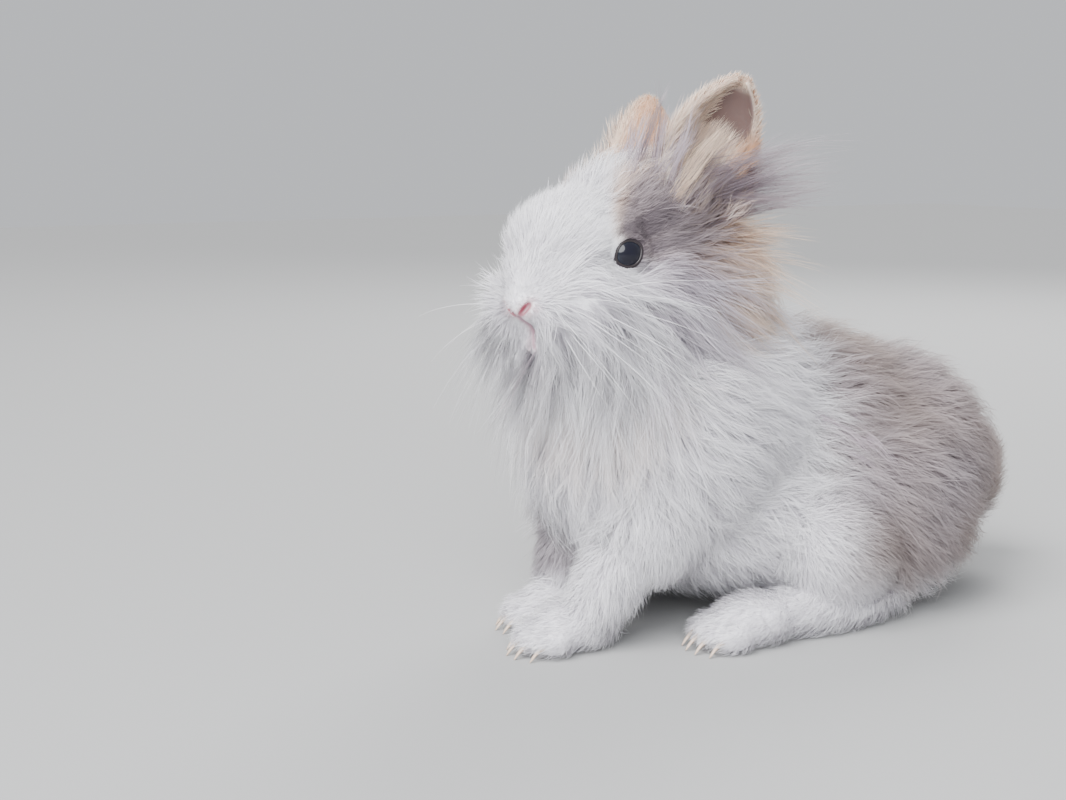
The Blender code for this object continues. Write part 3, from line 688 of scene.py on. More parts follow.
def times(tree, colour, other):
    """One colour multiplied by another."""
    mix = tree.nodes.new("ShaderNodeMix")
    mix.data_type = "RGBA"
    mix.blend_type = "MULTIPLY"
    mix.inputs["Factor"].default_value = 1.0
    tree.links.new(colour, mix.inputs["A"])
    tree.links.new(other, mix.inputs["B"])
    return mix.outputs["Result"]


def coat_finish(name, shine, lighten):
    """Hair: its marking, darkened at the root by painted shade and paler at the tip, with light through it.
    """
    made, tree, shader = material(name)
    # Painted shade: the ramp darkens each hair towards its root and pales it at the tip.
    root_shade_ramp = tree.nodes.new("ShaderNodeValToRGB")
    root_shade_ramp.color_ramp.elements[0].color = (0.78, 0.75, 0.79, 1.0)
    root_shade_ramp.color_ramp.elements[1].color = (lighten, lighten, lighten, 1.0)
    root_shade_ramp.color_ramp.elements[1].position = 0.75
    mottle = tree.nodes.new("ShaderNodeMapRange")
    mottle.inputs["To Min"].default_value = 0.86
    mottle.inputs["To Max"].default_value = 1.10
    tree.links.new(noise(tree, 260.0, 3.0), mottle.inputs["Value"])
    tree.links.new(attribute(tree, "along").outputs["Fac"], root_shade_ramp.inputs["Fac"])
    # The marking times the painted root shade.
    depth = times(tree, attribute(tree, "coat_colour").outputs["Color"], root_shade_ramp.outputs["Color"])
    vary = times(tree, depth, mottle.outputs["Result"])
    tree.links.new(vary, shader.inputs["Base Color"])
    shader.inputs["Roughness"].default_value = 0.55
    shader.inputs["Specular IOR Level"].default_value = shine
    through = tree.nodes.new("ShaderNodeBsdfTranslucent")
    tree.links.new(vary, through.inputs["Color"])
    mixed = tree.nodes.new("ShaderNodeMixShader")
    mixed.inputs["Fac"].default_value = 0.38
    output = tree.nodes["Material Output"]
    tree.links.new(shader.outputs["BSDF"], mixed.inputs[1])
    tree.links.new(through.outputs["BSDF"], mixed.inputs[2])
    tree.links.new(mixed.outputs["Shader"], output.inputs["Surface"])
    return made


long_hair = coat_finish("long_coat_hair", 0.25, 1.05)
short_hair = coat_finish("short_coat_hair", 0.2, 1.04)


def shade_of(points, draw, spread=0.07):
    """The marking at each root, varied from hair to hair."""
    colour = marking_and_painted_shade(points)
    grey = 1.0 - smooth_step(colour.mean(axis=1), 0.35, 0.80)
    vary = draw.normal(1.0, spread, len(points)) + grey * draw.normal(0.0, 0.16, len(points))
    return np.clip(colour * vary[:, None], 0.02, 0.94)


def clear_of_face(points, margin):
    """Whether hair may start: not in the eyes, on the nostrils or on the lips."""
    nostrils, cleft, mouth = line_distances(own_place(points))
    free = (nostrils > margin) & (cleft > margin * 0.7) & (mouth > margin * 0.2)
    for side in (1, -1):
        opening, far = opening_share(side, points)
        free &= ~((far < EYE_REACH) & (opening < 1.07))
    return free


def in_the_way(paths):
    """Whether a hair crosses an eye's opening or a nostril."""
    flat = paths.reshape(-1, 3)
    own = own_place(flat)
    nostrils, cleft, _ = line_distances(own, 0.0)
    crossed = ((nostrils < 0.0009) | (cleft < 0.0009)) & (own[:, 1] < -0.036)
    for side in (1, -1):
        opening, far = opening_share(side, flat)
        crossed |= (far < 0.0280) & (opening < 1.0)
    return crossed.reshape(paths.shape[:2]).any(axis=1)


def cut_short(paths):
    """Shortens the hairs that would cross an eye or a nostril, and tells which hairs then stay."""
    crossing = in_the_way(paths)
    roots = paths[crossing][:, :1]
    paths[crossing] = roots + CUT_SHARE * (paths[crossing] - roots)
    return ~in_the_way(paths)


def long_density(points, normals):
    depth = coat_depth(points, shares(points))
    return np.where(clear_of_face(points, 0.0016), smooth_step(depth, 0.0035, 0.0080), 0.0) + 1e-9


def short_density(points, normals):
    weight = shares(points)
    depth = coat_depth(points, weight)
    thick = 1.0 - smooth_step(depth, 0.0070, 0.0110)
    thick *= 1.0 + 1.6 * region_share(weight, "head")
    thick *= 1.0 + 1.5 * (1.0 - smooth_step(to_eyes(points), 0.0120, 0.0200))
    thick *= 1.0 + 1.5 * (1.0 - smooth_step(line_distances(own_place(points))[2], 0.0030, 0.0070))
    thick *= np.where(normals[:, 2] < -0.75, 0.25, 1.0)
    return np.where(clear_of_face(points, 0.0012), thick, 0.0) + 1e-9


under = BVHTree.FromPolygons(
    [v.co.copy() for v in skin.data.vertices], [tuple(p.vertices) for p in skin.data.polygons]
)
STEPS = 4
GUIDES, LONG_HAIRS = 13000, 190000
LONG_WIDTH, LONG_OVER_FLOOR, UNDERFUR_SHARE = (0.00017, 0.00034), 0.0012, 0.28
steps_along = np.linspace(0.0, 1.0, STEPS)

guide_roots = Roots(skin, GUIDES, long_density, 11)
draw = guide_roots.draw
guide_weight = shares(guide_roots.points)
guide_depth = coat_depth(guide_roots.points, guide_weight)
on_head = region_share(guide_weight, "head")
crown = region_share(guide_weight, "crown")
guide_long = guide_depth * (1.25 + (0.45 + 0.60 * on_head) * smooth_step(guide_depth, 0.004, 0.013))
right_crown = crown * (own_place(guide_roots.points)[:, 0] < 0.0)
guide_long *= (1.0 - 0.38 * crown) * (1.0 - 0.62 * right_crown) * draw.uniform(0.80, 1.25, GUIDES)
guide_lift = guide_depth * draw.uniform(0.70, 1.02, GUIDES)
guide_paths = np.empty((GUIDES, STEPS, 3))
guide_normals = np.empty((GUIDES, STEPS, 3))
guide_paths[:, 0] = guide_roots.points
guide_normals[:, 0] = guide_roots.normals
on_skin = guide_roots.points.copy()
sway = draw.normal(0.0, 0.32, (GUIDES, 3))
for step in range(1, STEPS):
    normal = guide_normals[:, step - 1]
    way = tangential(lie(on_skin, shares(on_skin)) + sway, normal)
    ahead = on_skin + way * (guide_long / (STEPS - 1))[:, None]
    for i in range(GUIDES):
        place, up, _, _ = under.find_nearest(ahead[i])
        on_skin[i] = place
        guide_normals[i, step] = up
    guide_normals[:, step] = unit(guide_normals[:, step] + 1.5 * normal)
    share = 1.0 - (1.0 - steps_along[step]) ** 1.9
    guide_paths[:, step] = on_skin + guide_normals[:, step] * (guide_lift * share)[:, None]

# The hair round the ears' roots stands up along them, the beard hangs from the chin, and the
# muzzle's hair bulges out on both sides of the nose, longer on the cheek than in front.
JOWL_FRONT, JOWL_SIDE = 0.54, 0.66
own = own_place(guide_roots.points)
chin = on_head * smooth_step(-own[:, 2], 0.014, 0.022) * smooth_step(-own[:, 1], -0.004, 0.010)
chin = chin * smooth_step(-guide_roots.normals[:, 2], -0.3, 0.3)
up_the_ear = np.where(own[:, :1] > 0.0, ear_axes[1], ear_axes[-1])
free_way = up_the_ear * crown[:, None] + np.array([0.0, -0.20, -1.0]) * chin[:, None]
free_way = unit(free_way + 0.35 * guide_roots.normals + 0.6 * sway)
standing = free_way[:, None, :] * (guide_long[:, None] * steps_along)[:, :, None]
standing = guide_roots.points[:, None, :] + standing
guide_paths += (standing - guide_paths) * np.maximum(crown, chin)[:, None, None]
hang = on_head * smooth_step(-own[:, 2], 0.004, 0.018) * (1.0 - chin)
guide_paths[:, :, 2] -= (0.35 * hang * guide_long)[:, None] * steps_along ** 2
jowl = on_head * smooth_step(np.abs(own[:, 0]), 0.0045, 0.0100) * smooth_step(-own[:, 2], 0.003, 0.010)
jowl *= smooth_step(-own[:, 1], 0.010, 0.022) * np.where(own[:, 0] < 0.0, 0.9, 0.5)
jowl_way = unit(guide_roots.normals * [1.0, 1.0, 0.5] + np.array([0.0, 0.0, -0.55]) + 0.5 * sway)
jowl_share = JOWL_FRONT + (JOWL_SIDE - JOWL_FRONT) * smooth_step(own[:, 1], -0.040, -0.026)
jowl_long = (jowl_share * guide_long)[:, None]
bulging = guide_roots.points[:, None, :] + jowl_way[:, None, :] * (jowl_long * steps_along)[:, :, None]
bulging[:, :, 2] -= 0.35 * jowl_long * steps_along ** 2
guide_paths += (bulging - guide_paths) * jowl[:, None, None]

# A guide that curls up in a hollow is left out
first_way, last_way = guide_paths[:, 1] - guide_paths[:, 0], guide_paths[:, -1] - guide_paths[:, -2]
chord = np.linalg.norm(guide_paths[:, -1] - guide_paths[:, 0], axis=1)
arc = np.linalg.norm(np.diff(guide_paths, axis=1), axis=2).sum(axis=1)
steady = (np.sum(unit(first_way) * unit(last_way), axis=1) > 0.30) & (chord > 0.80 * arc)
near_guide = KDTree(int(steady.sum()))
for i in np.flatnonzero(steady):
    near_guide.insert(guide_roots.points[i], int(i))
near_guide.balance()

long_roots = Roots(skin, LONG_HAIRS, long_density, 12)
draw = long_roots.draw
guide = np.array([near_guide.find(p)[1] for p in long_roots.points])
stretch = draw.uniform(0.55, 1.12, LONG_HAIRS)
underfur = draw.random(LONG_HAIRS) < UNDERFUR_SHARE
stretch = np.where(underfur, 0.55 * stretch, stretch)
path = guide_paths[guide] - guide_paths[guide][:, :1]
path = path * stretch[:, None, None]
apart = (long_roots.points - guide_roots.points[guide])[:, None, :]
tightness = (draw.uniform(0.25, 0.72, GUIDES) * (1.0 - 0.40 * crown))[guide] * np.where(underfur, 0.25, 1.0)
gather = tightness[:, None, None] * steps_along[None, :, None] ** 1.2
paths = guide_roots.points[guide][:, None, :] + path + apart * (1.0 - gather)
frizz = draw.normal(0.0, 0.0004, (LONG_HAIRS, STEPS, 3)) * steps_along[None, :, None]
stray = draw.normal(0.0, 0.0016, (LONG_HAIRS, 1, 3)) * steps_along[None, :, None] ** 1.5
paths = paths + frizz + stray
paths[:, 0] -= long_roots.normals * ROOT_SINK
paths[:, :, 2] = np.maximum(paths[:, :, 2], LONG_OVER_FLOOR)
hair_normals = guide_normals[guide]
width = draw.uniform(*LONG_WIDTH, LONG_HAIRS)
shows = cut_short(paths)
colour = shade_of(long_roots.points, draw)
cream_share = region_share(shares(long_roots.points), "crown") * (draw.random(LONG_HAIRS) < 0.42)
colour = colour + (CREAM - colour) * (0.8 * cream_share)[:, None]

# The long coat in its pieces, each under the limit of triangles
weight = shares(long_roots.points)
body = long_roots.points - np.array(STANCE)
head_hair = region_share(weight, "head") + region_share(weight, "crown") > 0.5
on_chest = (body[:, 1] < 0.000) & (body[:, 2] > 0.030)
neck_hair = ~head_hair & ((region_share(weight, "neck") > 0.5) | on_chest)
rest = ~head_hair & ~neck_hair
left = long_roots.points[:, 0] > 0.0
long_pieces = {
    "coat_cheeks_left": head_hair & left,
    "coat_cheeks_right": head_hair & ~left,
    "coat_ruff_left": neck_hair & left,
    "coat_ruff_right": neck_hair & ~left,
    "coat_back_left": rest & left,
    "coat_back_right": rest & ~left,
}
LONG_PER_PIECE = 39000


def parts(name, chosen, most):
    """The names and the hairs of a piece's parts."""
    picked = np.flatnonzero(chosen)
    for part in range(math.ceil(len(picked) / most)):
        yield f"{name}_{part + 1}", picked[part * most:(part + 1) * most]


for name, chosen in long_pieces.items():
    for part, some in parts(name, chosen & shows, LONG_PER_PIECE):
        piece = blades(
            part, paths[some], hair_normals[some], width[some], colour[some], long_roots.uv[some], draw
        )
        piece.data.materials.append(long_hair)
        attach(piece, "root")

# The short coat of the face, legs and feet: straight blades that lie close
SHORT_HAIRS, SHORT_STEPS, SHORT_PER_PIECE = 105000, 3, 62000
SHORT_WIDTH, SHORT_OVER_FLOOR = (0.00020, 0.00038), 0.0008
short_roots = Roots(skin, SHORT_HAIRS, short_density, 13)
draw = short_roots.draw
weight = shares(short_roots.points)
depth = coat_depth(short_roots.points, weight)
long = (0.0010 + 1.20 * depth) * draw.uniform(0.75, 1.25, SHORT_HAIRS)
lift = depth * draw.uniform(0.35, 0.95, SHORT_HAIRS)
way = tangential(
    lie(short_roots.points, weight) + draw.normal(0.0, 0.20, (SHORT_HAIRS, 3)), short_roots.normals
)


def close_paths(roots, way, long, lift, count):
    """Straight hairs that rise from the skin and lie over it, as paths of so many points."""
    steps = np.linspace(0.0, 1.0, count)
    bend = (1.0 - (1.0 - steps) ** 1.6)[None, :, None]
    paths = roots.points[:, None, :] + way[:, None, :] * (long[:, None] * steps)[:, :, None]
    paths = paths + roots.normals[:, None, :] * (lift[:, None, None] * bend)
    paths[:, 0] -= roots.normals * ROOT_SINK
    return paths


paths = close_paths(short_roots, way, long, lift, SHORT_STEPS)
paths[:, :, 2] = np.maximum(paths[:, :, 2], SHORT_OVER_FLOOR)
colour = shade_of(short_roots.points, draw)
width = draw.uniform(*SHORT_WIDTH, SHORT_HAIRS)
shows = cut_short(paths)
face_hair = region_share(weight, "head") + region_share(weight, "neck") > 0.5
for name, chosen in (("coat_face", face_hair), ("coat_legs", ~face_hair)):
    for part, some in parts(name, chosen & shows, SHORT_PER_PIECE):
        normals = np.repeat(short_roots.normals[some][:, None, :], SHORT_STEPS, axis=1)
        piece = blades(
            part, paths[some], normals, width[some], colour[some], short_roots.uv[some], draw
        )
        piece.data.materials.append(short_hair)
        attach(piece, "root")

# The ears
# Thin cupped leaves of gristle and skin on a short rolled root. Their backs are cream and fawn,
# the cup is dusky skin, and long grey hair fills its lower half.
EAR_LENGTH, EAR_WIDTH, EAR_WALL, EAR_ROOT_DEPTH = 0.060, 0.036, 0.0016, 0.010
EAR_FAWN = np.array([0.72, 0.45, 0.28])
EAR_RUST = np.array([0.56, 0.29, 0.14])
EAR_CREAM = np.array([0.84, 0.69, 0.57])
EAR_INSIDE = np.array([0.160, 0.104, 0.094])


def ear_half(along):
    """Half the width of the ear's leaf, along it."""
    return 0.5 * EAR_WIDTH * np.maximum(0.06, np.sin(np.pi * (0.13 + 0.85 * along) ** 1.1) ** 0.7)


def ear_point(across, along):
    """A place on the ear's leaf, from edge to edge (-1 to 1) and root to tip (0 to 1)."""
    half = float(ear_half(along)) - 0.0008
    wrap = math.radians(150 - 82 * min(1.0, along / 0.45))
    radius = half / max(math.sin(min(wrap, math.pi / 2)), 0.3)
    angle = across * wrap
    rise = along * (EAR_LENGTH - 0.0010) - EAR_ROOT_DEPTH
    return Vector((-radius * (math.cos(angle) - math.cos(wrap) * 0.4), radius * math.sin(angle), rise))


def ear_measures(place, points, normals):
    """Along and across the ear's leaf, and how far a place faces into its cup."""
    back_to_leaf = np.array(place.inverted())
    local = points @ back_to_leaf[:3, :3].T + back_to_leaf[:3, 3]
    facing = normals @ back_to_leaf[:3, :3].T
    along = np.clip((local[:, 2] + EAR_ROOT_DEPTH) / EAR_LENGTH, 0.0, 1.0)
    return along, np.clip(local[:, 1] / ear_half(along), -1.2, 1.2), facing[:, 0]


def ear_zones(along, across, inward):
    """How much a place is in the cup, on its furred front rim, and in its fluffy lower half."""
    cup = smooth_step(inward, 0.0, 0.25)
    rim = np.maximum(1.0 - smooth_step(across, -0.48, -0.14), smooth_step(across, 0.80, 0.94))
    low = 1.0 - smooth_step(along + 0.10 * across, 0.50, 0.60)
    return cup, np.maximum(rim, smooth_step(along, 0.90, 0.98)), low


def ear_density(place):
    def density(points, normals):
        along, across, inward = ear_measures(place, points, normals)
        cup, rim, low = ear_zones(along, across, inward)
        inside = np.maximum(1.4 * rim, 1.4 * low)
        return np.where(cup > 0.5, inside, 1.0) * (along > 0.08) + 1e-9

    return density


ear_skin, shader = marked_skin("ear_skin", 320.0, 2.0, 0.35, 0.6)
shader.inputs["Subsurface Weight"].default_value = 0.15
shader.inputs["Subsurface Radius"].default_value = (0.004, 0.0015, 0.001)

EAR_HAIRS, EAR_STEPS, EAR_HAIR_WIDTH = 22000, 4, (0.00020, 0.00036)
for side, name in ((1, "left"), (-1, "right")):
    place = ear_place(side)
    bm = bmesh.new()
    bmesh.ops.create_grid(bm, x_segments=28, y_segments=44, size=1.0)
    for v in bm.verts:
        v.co = place @ ear_point(v.co.x, 0.5 * (v.co.y + 1.0))
    bmesh.ops.recalc_face_normals(bm, faces=bm.faces)
    ear = mesh_object(f"ear_{name}_leaf", bm)
    wall = ear.modifiers.new("wall", "SOLIDIFY")
    wall.thickness = EAR_WALL
    wall.offset = 0.0
    settle(ear)
    smooth_faces(ear)
    points = points_of(ear.data)
    cup, rim, low = ear_zones(*ear_measures(place, points, read(ear.data.vertices, "normal", 3)))
    inside = blend(np.tile(EAR_INSIDE, (len(points), 1)), EAR_CREAM, np.maximum(rim, low))
    leaf_colour = np.tile(EAR_FAWN, (len(points), 1))
    set_colour(ear.data, "coat_colour", leaf_colour + (inside - leaf_colour) * cup[:, None])
    bpy.ops.object.select_all(action="DESELECT")
    unwrap(ear)
    ear.data.materials.append(ear_skin)
    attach(ear, "root")
    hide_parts(f"ear_{name}")

    roots = Roots(ear, EAR_HAIRS, ear_density(place), 20 + side)
    draw = roots.draw
    along, across, inward = ear_measures(place, roots.points, roots.normals)
    cup, rim, low = ear_zones(along, across, inward)
    cup = (cup > 0.5).astype(float)
    fluff = cup * low * (1.0 - 0.6 * rim)
    turn = np.array(place.to_3x3())
    edge_way = turn[:, 1][None, :] * (np.sign(across) * smooth_step(np.abs(across), 0.75, 1.0))[:, None]
    way = ear_axes[side][None, :] + 0.22 * edge_way + (0.7 * fluff)[:, None] * turn[:, 0][None, :]
    way += (0.30 * cup * (across < 0.1))[:, None] * turn[:, 1][None, :]
    way = unit(way + draw.normal(0.0, 0.20, (EAR_HAIRS, 3)))
    long = 0.0046 + 0.0084 * fluff + 0.0010 * smooth_step(np.abs(across), 0.8, 1.0)
    long = long * (1.0 - 0.35 * smooth_step(along, 0.75, 1.0)) * draw.uniform(0.6, 1.3, EAR_HAIRS)
    lift = (0.30 + 0.34 * fluff) * long
    paths = close_paths(roots, tangential(way, roots.normals), long, lift, EAR_STEPS)
    rear = smooth_step(across, 0.45, 0.85) * (1.0 - smooth_step(along, 0.50, 0.75))
    colour = blend(np.tile(EAR_FAWN, (EAR_HAIRS, 1)), EAR_CREAM, smooth_step(-across, 0.80, 1.0))
    colour = blend(colour, EAR_CREAM, cup * (1.0 - rear))
    colour = blend(colour, EAR_RUST, 0.75 * rear)
    colour = blend(colour, WHITE, 0.5 * (1.0 - smooth_step(along, 0.15, 0.45)))
    colour = blend(colour, GREY * 1.3, 0.35 * fluff * (draw.random(EAR_HAIRS) < 0.3))
    colour = blend(colour, EAR_CREAM, 0.45 * (1.0 - cup) * (draw.random(EAR_HAIRS) < 0.30))
    colour = np.clip(colour * draw.normal(1.0, 0.12, EAR_HAIRS)[:, None], 0.02, 0.92)
    normals = np.repeat(roots.normals[:, None, :], EAR_STEPS, axis=1)
    width = draw.uniform(*EAR_HAIR_WIDTH, EAR_HAIRS)
    piece = blades(f"ear_{name}_hair", paths, normals, width, colour, roots.uv, draw)
    piece.data.materials.append(short_hair)
    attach(piece, "root")

# The loose locks
# Thin locks that stand off the coat: silver ones before and between the ears, grey and cream
# ones that blow back behind the near ear, one down the neck, and a grey tuft on the flank.
LOCK_STEPS, LOCK_WIDTH = 7, (0.00018, 0.00030)
lock_paths, lock_normals, lock_colours, lock_uvs = [], [], [], []
lock_draw = np.random.default_rng(41)
lock_reach = np.linspace(0.0, 1.0, LOCK_STEPS)
skin_uv = read(skin.data.uv_layers["OFBake"].data, "uv", 2, np.float32)


def lock(place, way, length, droop, spread, hairs, colour):
    """One lock from the skin nearest a place, towards a way, sagging by its droop at the tip.

    Its hairs gather in wavy strands of a dozen or so.
    """
    root, normal, face, _ = under.find_nearest(place)
    strands = max(3, hairs // 14)
    strand = lock_draw.integers(0, strands, hairs)
    centres = lock_draw.normal(0.0, spread / 2, (strands, 1, 3))[strand]
    apart = lock_draw.normal(0.0, 0.0011, (hairs, 1, 3))
    ways = unit(np.array(way) + lock_draw.normal(0.0, 0.15, (strands, 1, 3)))[strand]
    long = length * lock_draw.uniform(0.6, 1.1, (strands, 1, 1))[strand]
    long = long * lock_draw.uniform(0.8, 1.0, (hairs, 1, 1))
    reach = lock_reach[None, :, None]
    sag = np.array([0.0, 0.0, -droop]) * reach ** 2 * (long / length)
    turn = lock_draw.uniform(0.0, 6.3, (strands, 1, 3))[strand]
    wave = 0.040 * length * (np.sin(3.4 * reach + turn) - np.sin(turn)) * reach ** 0.7
    start = np.array(root) - np.array(normal) * 0.001 + centres * (1.0 - 0.2 * reach)
    stray = lock_draw.normal(0.0, 0.04, (hairs, 1, 3)) * long * reach ** 1.5
    pinched = start + apart * (1.0 - 0.65 * reach)
    lock_paths.append(pinched + ways * long * reach + sag + wave + stray)
    lock_normals.append(np.tile(np.array(normal), (hairs, LOCK_STEPS, 1)))
    lock_colours.append(np.clip(colour * lock_draw.normal(1.0, 0.12, (hairs, 1)), 0.02, 0.93))
    first_loop = skin.data.polygons[face].loop_start
    lock_uvs.append(np.tile(skin_uv[first_loop], (hairs, 1)))


def on_head_at(x, y, z):
    return head_place @ Vector((x, y, z))


SILVER = GREY * 1.7
lock(on_head_at(0.022, 0.034, 0.022), (0.45, 0.85, 0.42), 0.056, 0.004, 0.009, 520, SILVER)
lock(on_head_at(0.024, 0.037, 0.017), (0.50, 0.82, 0.24), 0.052, 0.004, 0.009, 460, SILVER)
lock(on_head_at(0.028, 0.036, 0.006), (0.55, 0.75, 0.08), 0.034, 0.004, 0.010, 460, CREAM)
lock(on_head_at(0.028, 0.034, 0.000), (0.52, 0.76, -0.22), 0.046, 0.008, 0.005, 120, CREAM)
lock(on_head_at(0.013, 0.019, 0.027), ear_axes[1] + [0.1, -0.12, 0.0], 0.032, 0.000, 0.010, 260, SILVER)
lock(on_head_at(0.017, 0.016, 0.026), ear_axes[1] + [0.1, -0.05, 0.0], 0.030, 0.000, 0.009, 200, SILVER)
lock(on_head_at(0.022, 0.018, 0.022), ear_axes[1] + [0.25, 0.05, 0.0], 0.024, 0.000, 0.009, 260, CREAM)
lock(on_head_at(0.003, 0.022, 0.029), (0.10, 0.15, 1.0), 0.011, 0.000, 0.010, 300, SILVER)
lock(on_head_at(0.024, 0.040, -0.016), (0.42, 0.75, -0.75), 0.048, 0.006, 0.003, 70, CREAM)
lock(STANCE + Vector((0.046, 0.046, 0.078)), (0.40, 0.75, -0.50), 0.030, 0.006, 0.010, 380, SILVER)
locks = blades(
    "coat_loose_locks", np.concatenate(lock_paths), np.concatenate(lock_normals),
    lock_draw.uniform(*LOCK_WIDTH, sum(len(paths) for paths in lock_paths)),
    np.concatenate(lock_colours), np.concatenate(lock_uvs), lock_draw,
)
locks.data.materials.append(long_hair)
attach(locks, "root")

# The eyes
# Large, dark and wet: a black pupil in a slate iris under a clear, glossy cornea, with a dark
# rim of bare lid round each.
eye_finish, tree, shader = material("wet_dark_eye")
rings = tree.nodes.new("ShaderNodeValToRGB")
rings.color_ramp.elements[0].color = (0.006, 0.006, 0.012, 1.0)
rings.color_ramp.elements[0].position = 0.42
iris = rings.color_ramp.elements.new(0.47)
iris.color = (0.008, 0.009, 0.015, 1.0)
outer = rings.color_ramp.elements.new(0.72)
outer.color = (0.014, 0.017, 0.030, 1.0)
rings.color_ramp.elements[-1].color = (0.02, 0.018, 0.022, 1.0)
rings.color_ramp.elements[-1].position = 0.86
tree.links.new(attribute(tree, "from_gaze").outputs["Fac"], rings.inputs["Fac"])
tree.links.new(rings.outputs["Color"], shader.inputs["Base Color"])
shader.inputs["Roughness"].default_value = 0.35
shader.inputs["Specular IOR Level"].default_value = 0.05
shader.inputs["Coat Weight"].default_value = 0.6
shader.inputs["Coat Roughness"].default_value = 0.03



def speckled(name, grain_scale, dark, pale, roughness):
    """A finish that varies a little between two tones."""
    made, tree, shader = material(name)
    tones = tree.nodes.new("ShaderNodeValToRGB")
    tones.color_ramp.elements[0].color = (*dark, 1.0)
    tones.color_ramp.elements[1].color = (*pale, 1.0)
    tree.links.new(noise(tree, grain_scale), tones.inputs["Fac"])
    tree.links.new(tones.outputs["Color"], shader.inputs["Base Color"])
    shader.inputs["Roughness"].default_value = roughness
    return made, shader


rim_finish, _ = speckled("bare_lid_rim", 1500.0, (0.010, 0.008, 0.009), (0.030, 0.022, 0.024), 0.35)

for side, name in ((1, "left"), (-1, "right")):
    centre, out, across, up = eye_frame(side)
    axes = Matrix((across, up, out)).transposed().to_4x4()
    bm = bmesh.new()
    bmesh.ops.create_uvsphere(bm, u_segments=48, v_segments=32, radius=EYE_RADIUS - 0.0001)
    gaze = [v.co.angle(Vector((0, 0, 1))) for v in bm.verts]
    for v, turned in zip(bm.verts, gaze):
        v.co.z += 0.0005 * max(0.0, math.cos(turned) - 0.6)
    bm.transform(Matrix.Translation(centre) @ axes)
    eyeball = mesh_object(f"eyeball_{name}", bm)
    smooth_faces(eyeball)
    set_number(eyeball.data, "from_gaze", gaze)
    eyeball.data.materials.append(eye_finish)
    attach(eyeball, "root")
    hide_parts(f"eye_{name}")

    bm = bmesh.new()
    bmesh.ops.create_circle(bm, segments=12, radius=0.00045)
    bm.transform(Matrix.Translation((1.0, 0, 0)) @ Matrix.Rotation(math.pi / 2, 4, "X"))
    bmesh.ops.spin(
        bm, geom=list(bm.verts) + list(bm.edges), cent=(0, 0, 0), axis=(0, 0, 1),
        angle=math.tau, steps=72, use_merge=True,
    )
    for v in bm.verts:
        round_way = Vector((v.co.x, v.co.y, 0)).normalized()
        local = v.co - round_way
        edge = lid_edge(math.atan2(round_way.y, round_way.x))
        ring = Vector((edge[0] * side, edge[1], 0))
        height = math.sqrt(EYE_RADIUS ** 2 - ring.length_squared) + 0.0001
        v.co = ring + local + Vector((0, 0, height))
    bmesh.ops.recalc_face_normals(bm, faces=bm.faces)
    bm.transform(Matrix.Translation(centre) @ axes)
    rim = mesh_object(f"lid_rim_{name}", bm)
    smooth_faces(rim)
    rim.data.materials.append(rim_finish)
    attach(rim, "root")

# The claws
# Short curved horn at the end of each toe, pale and a little see-through, half hidden by hair.
CLAW_LENGTH, CLAW_RADIUS, CLAW_RINGS = 0.0066, 0.0014, 6
claw_finish, shader = speckled("pale_claw_horn", 700.0, (0.42, 0.30, 0.22), (0.66, 0.54, 0.44), 0.35)
shader.inputs["Subsurface Weight"].default_value = 0.2
shader.inputs["Subsurface Radius"].default_value = (0.001, 0.0006, 0.0004)

bm = bmesh.new()
for toe, reach in toes:
    made = bmesh.ops.create_circle(bm, segments=10, radius=CLAW_RADIUS, cap_ends=True)["verts"]
    front = {face for v in made for face in v.link_faces}.pop()
    start = STANCE + toe + Vector((0, -reach + 0.0024, -0.0004))
    tilt = Matrix.Rotation(math.radians(90), 4, "X")
    bmesh.ops.transform(bm, verts=made, matrix=Matrix.Translation(start) @ tilt)
    for ring in range(CLAW_RINGS):
        grown = bmesh.ops.extrude_discrete_faces(bm, faces=[front])["faces"][0]
        step = Vector((0, -CLAW_LENGTH / CLAW_RINGS, -0.00022 * (ring + 1)))
        centre = grown.calc_center_median()
        shrink = 0.85 if ring < CLAW_RINGS - 1 else 0.35
        for v in grown.verts:
            v.co = centre + (v.co - centre) * shrink + step
        front = grown
bmesh.ops.recalc_face_normals(bm, faces=bm.faces)
claws = mesh_object("claws", bm)
smooth_faces(claws)
claws.data.materials.append(claw_finish)
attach(claws, "root")

# The whiskers
# Long, stiff, white hairs from the pads beside the nose, sweeping out and down.
WHISKER_RADIUS, WHISKER_ROWS, WHISKER_COLUMNS, WHISKER_STEPS = 0.00013, 4, 4, 8
whisker_finish, _ = speckled("white_whisker", 200.0, (0.72, 0.70, 0.72), (0.90, 0.89, 0.90), 0.3)
draw = np.random.default_rng(31)
whisker_data = bpy.data.curves.new("whiskers", "CURVE")
whisker_data.dimensions = "3D"
whisker_data.bevel_depth = WHISKER_RADIUS
whisker_data.bevel_resolution = 1
for side in (1, -1):
    for row in range(WHISKER_ROWS):
        for column in range(WHISKER_COLUMNS):
            root = Vector((
                side * (0.013 + 0.0022 * column), -0.040 + 0.0040 * column, -0.0055 - 0.0028 * row,
            ))
            length = draw.uniform(0.026, 0.046)
            way = Vector((
                side * (0.9 + 0.1 * draw.normal()), -0.45 + 0.28 * column + 0.1 * draw.normal(),
                0.10 - 0.26 * row + 0.08 * draw.normal(),
            )).normalized()
            spline = whisker_data.splines.new("POLY")
            spline.points.add(WHISKER_STEPS)
            for i, point in enumerate(spline.points):
                share = i / WHISKER_STEPS
                place = root + way * length * share + Vector((0, 0.006 * share, -0.010 * share)) * share
                point.co = (*(head_place @ place), 1.0)
                point.radius = 1.0 - 0.85 * share
whisker_curve = bpy.data.objects.new("whisker_curve", whisker_data)
bpy.context.scene.collection.objects.link(whisker_curve)
graph = bpy.context.evaluated_depsgraph_get()
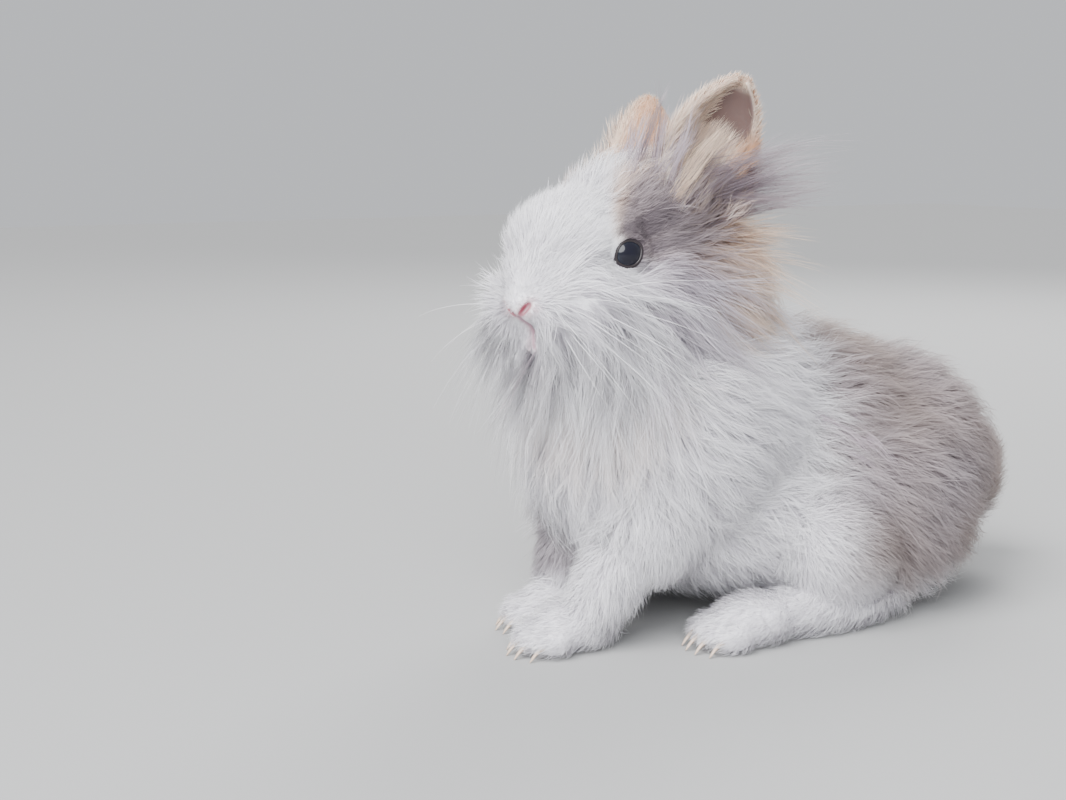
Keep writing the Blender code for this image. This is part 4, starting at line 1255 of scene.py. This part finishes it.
whisker_mesh = bpy.data.meshes.new_from_object(whisker_curve.evaluated_get(graph))
bpy.data.objects.remove(whisker_curve)
whiskers = bpy.data.objects.new("whiskers", whisker_mesh)
bpy.context.scene.collection.objects.link(whiskers)
whiskers.data.materials.clear()
whiskers.data.materials.append(whisker_finish)
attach(whiskers, "root")

# The studio
# A plain pale floor, a wide soft light from above the rabbit's left front, and paler light
# from the other side, under a light grey surround.
FLOOR_SIZE, FLOOR_GREY = 6.0, 0.32
bm = bmesh.new()
bmesh.ops.create_grid(bm, x_segments=1, y_segments=1, size=FLOOR_SIZE / 2)
floor = mesh_object("floor", bm)
floor_finish, tree, shader = material("pale_floor")
shader.inputs["Base Color"].default_value = (FLOOR_GREY, FLOOR_GREY, FLOOR_GREY, 1.0)
shader.inputs["Roughness"].default_value = 0.9
floor.data.materials.append(floor_finish)


def soft_light(name, place, size, power, colour):
    """A round lamp that faces the rabbit."""
    data = bpy.data.lights.new(name, "AREA")
    data.shape = "DISK"
    data.size = size
    data.energy = power
    data.color = colour
    lamp = bpy.data.objects.new(name, data)
    lamp.location = place
    aim = Vector((0, -0.03, 0.09)) - Vector(place)
    lamp.rotation_euler = aim.to_track_quat("-Z", "Y").to_euler()
    bpy.context.scene.collection.objects.link(lamp)


soft_light("window", (0.78, -0.72, 0.70), 0.95, 29.0, (0.96, 0.98, 1.0))
soft_light("back", (-0.75, 0.85, 0.95), 0.8, 18.0, (1.0, 1.0, 1.0))
sky_data = bpy.data.lights.new("sky", "SUN")
sky_data.energy = 5.0
sky_data.angle = math.radians(35)
sky = bpy.data.objects.new("sky", sky_data)
sky.rotation_euler = Vector((-0.15, 0.75, -1.0)).to_track_quat("-Z", "Y").to_euler()
bpy.context.scene.collection.objects.link(sky)

world = bpy.data.worlds.new("surround")
world.use_nodes = True
world.node_tree.nodes["Background"].inputs["Color"].default_value = (0.88, 0.90, 0.94, 1.0)
world.node_tree.nodes["Background"].inputs["Strength"].default_value = 0.75
bpy.context.scene.world = world
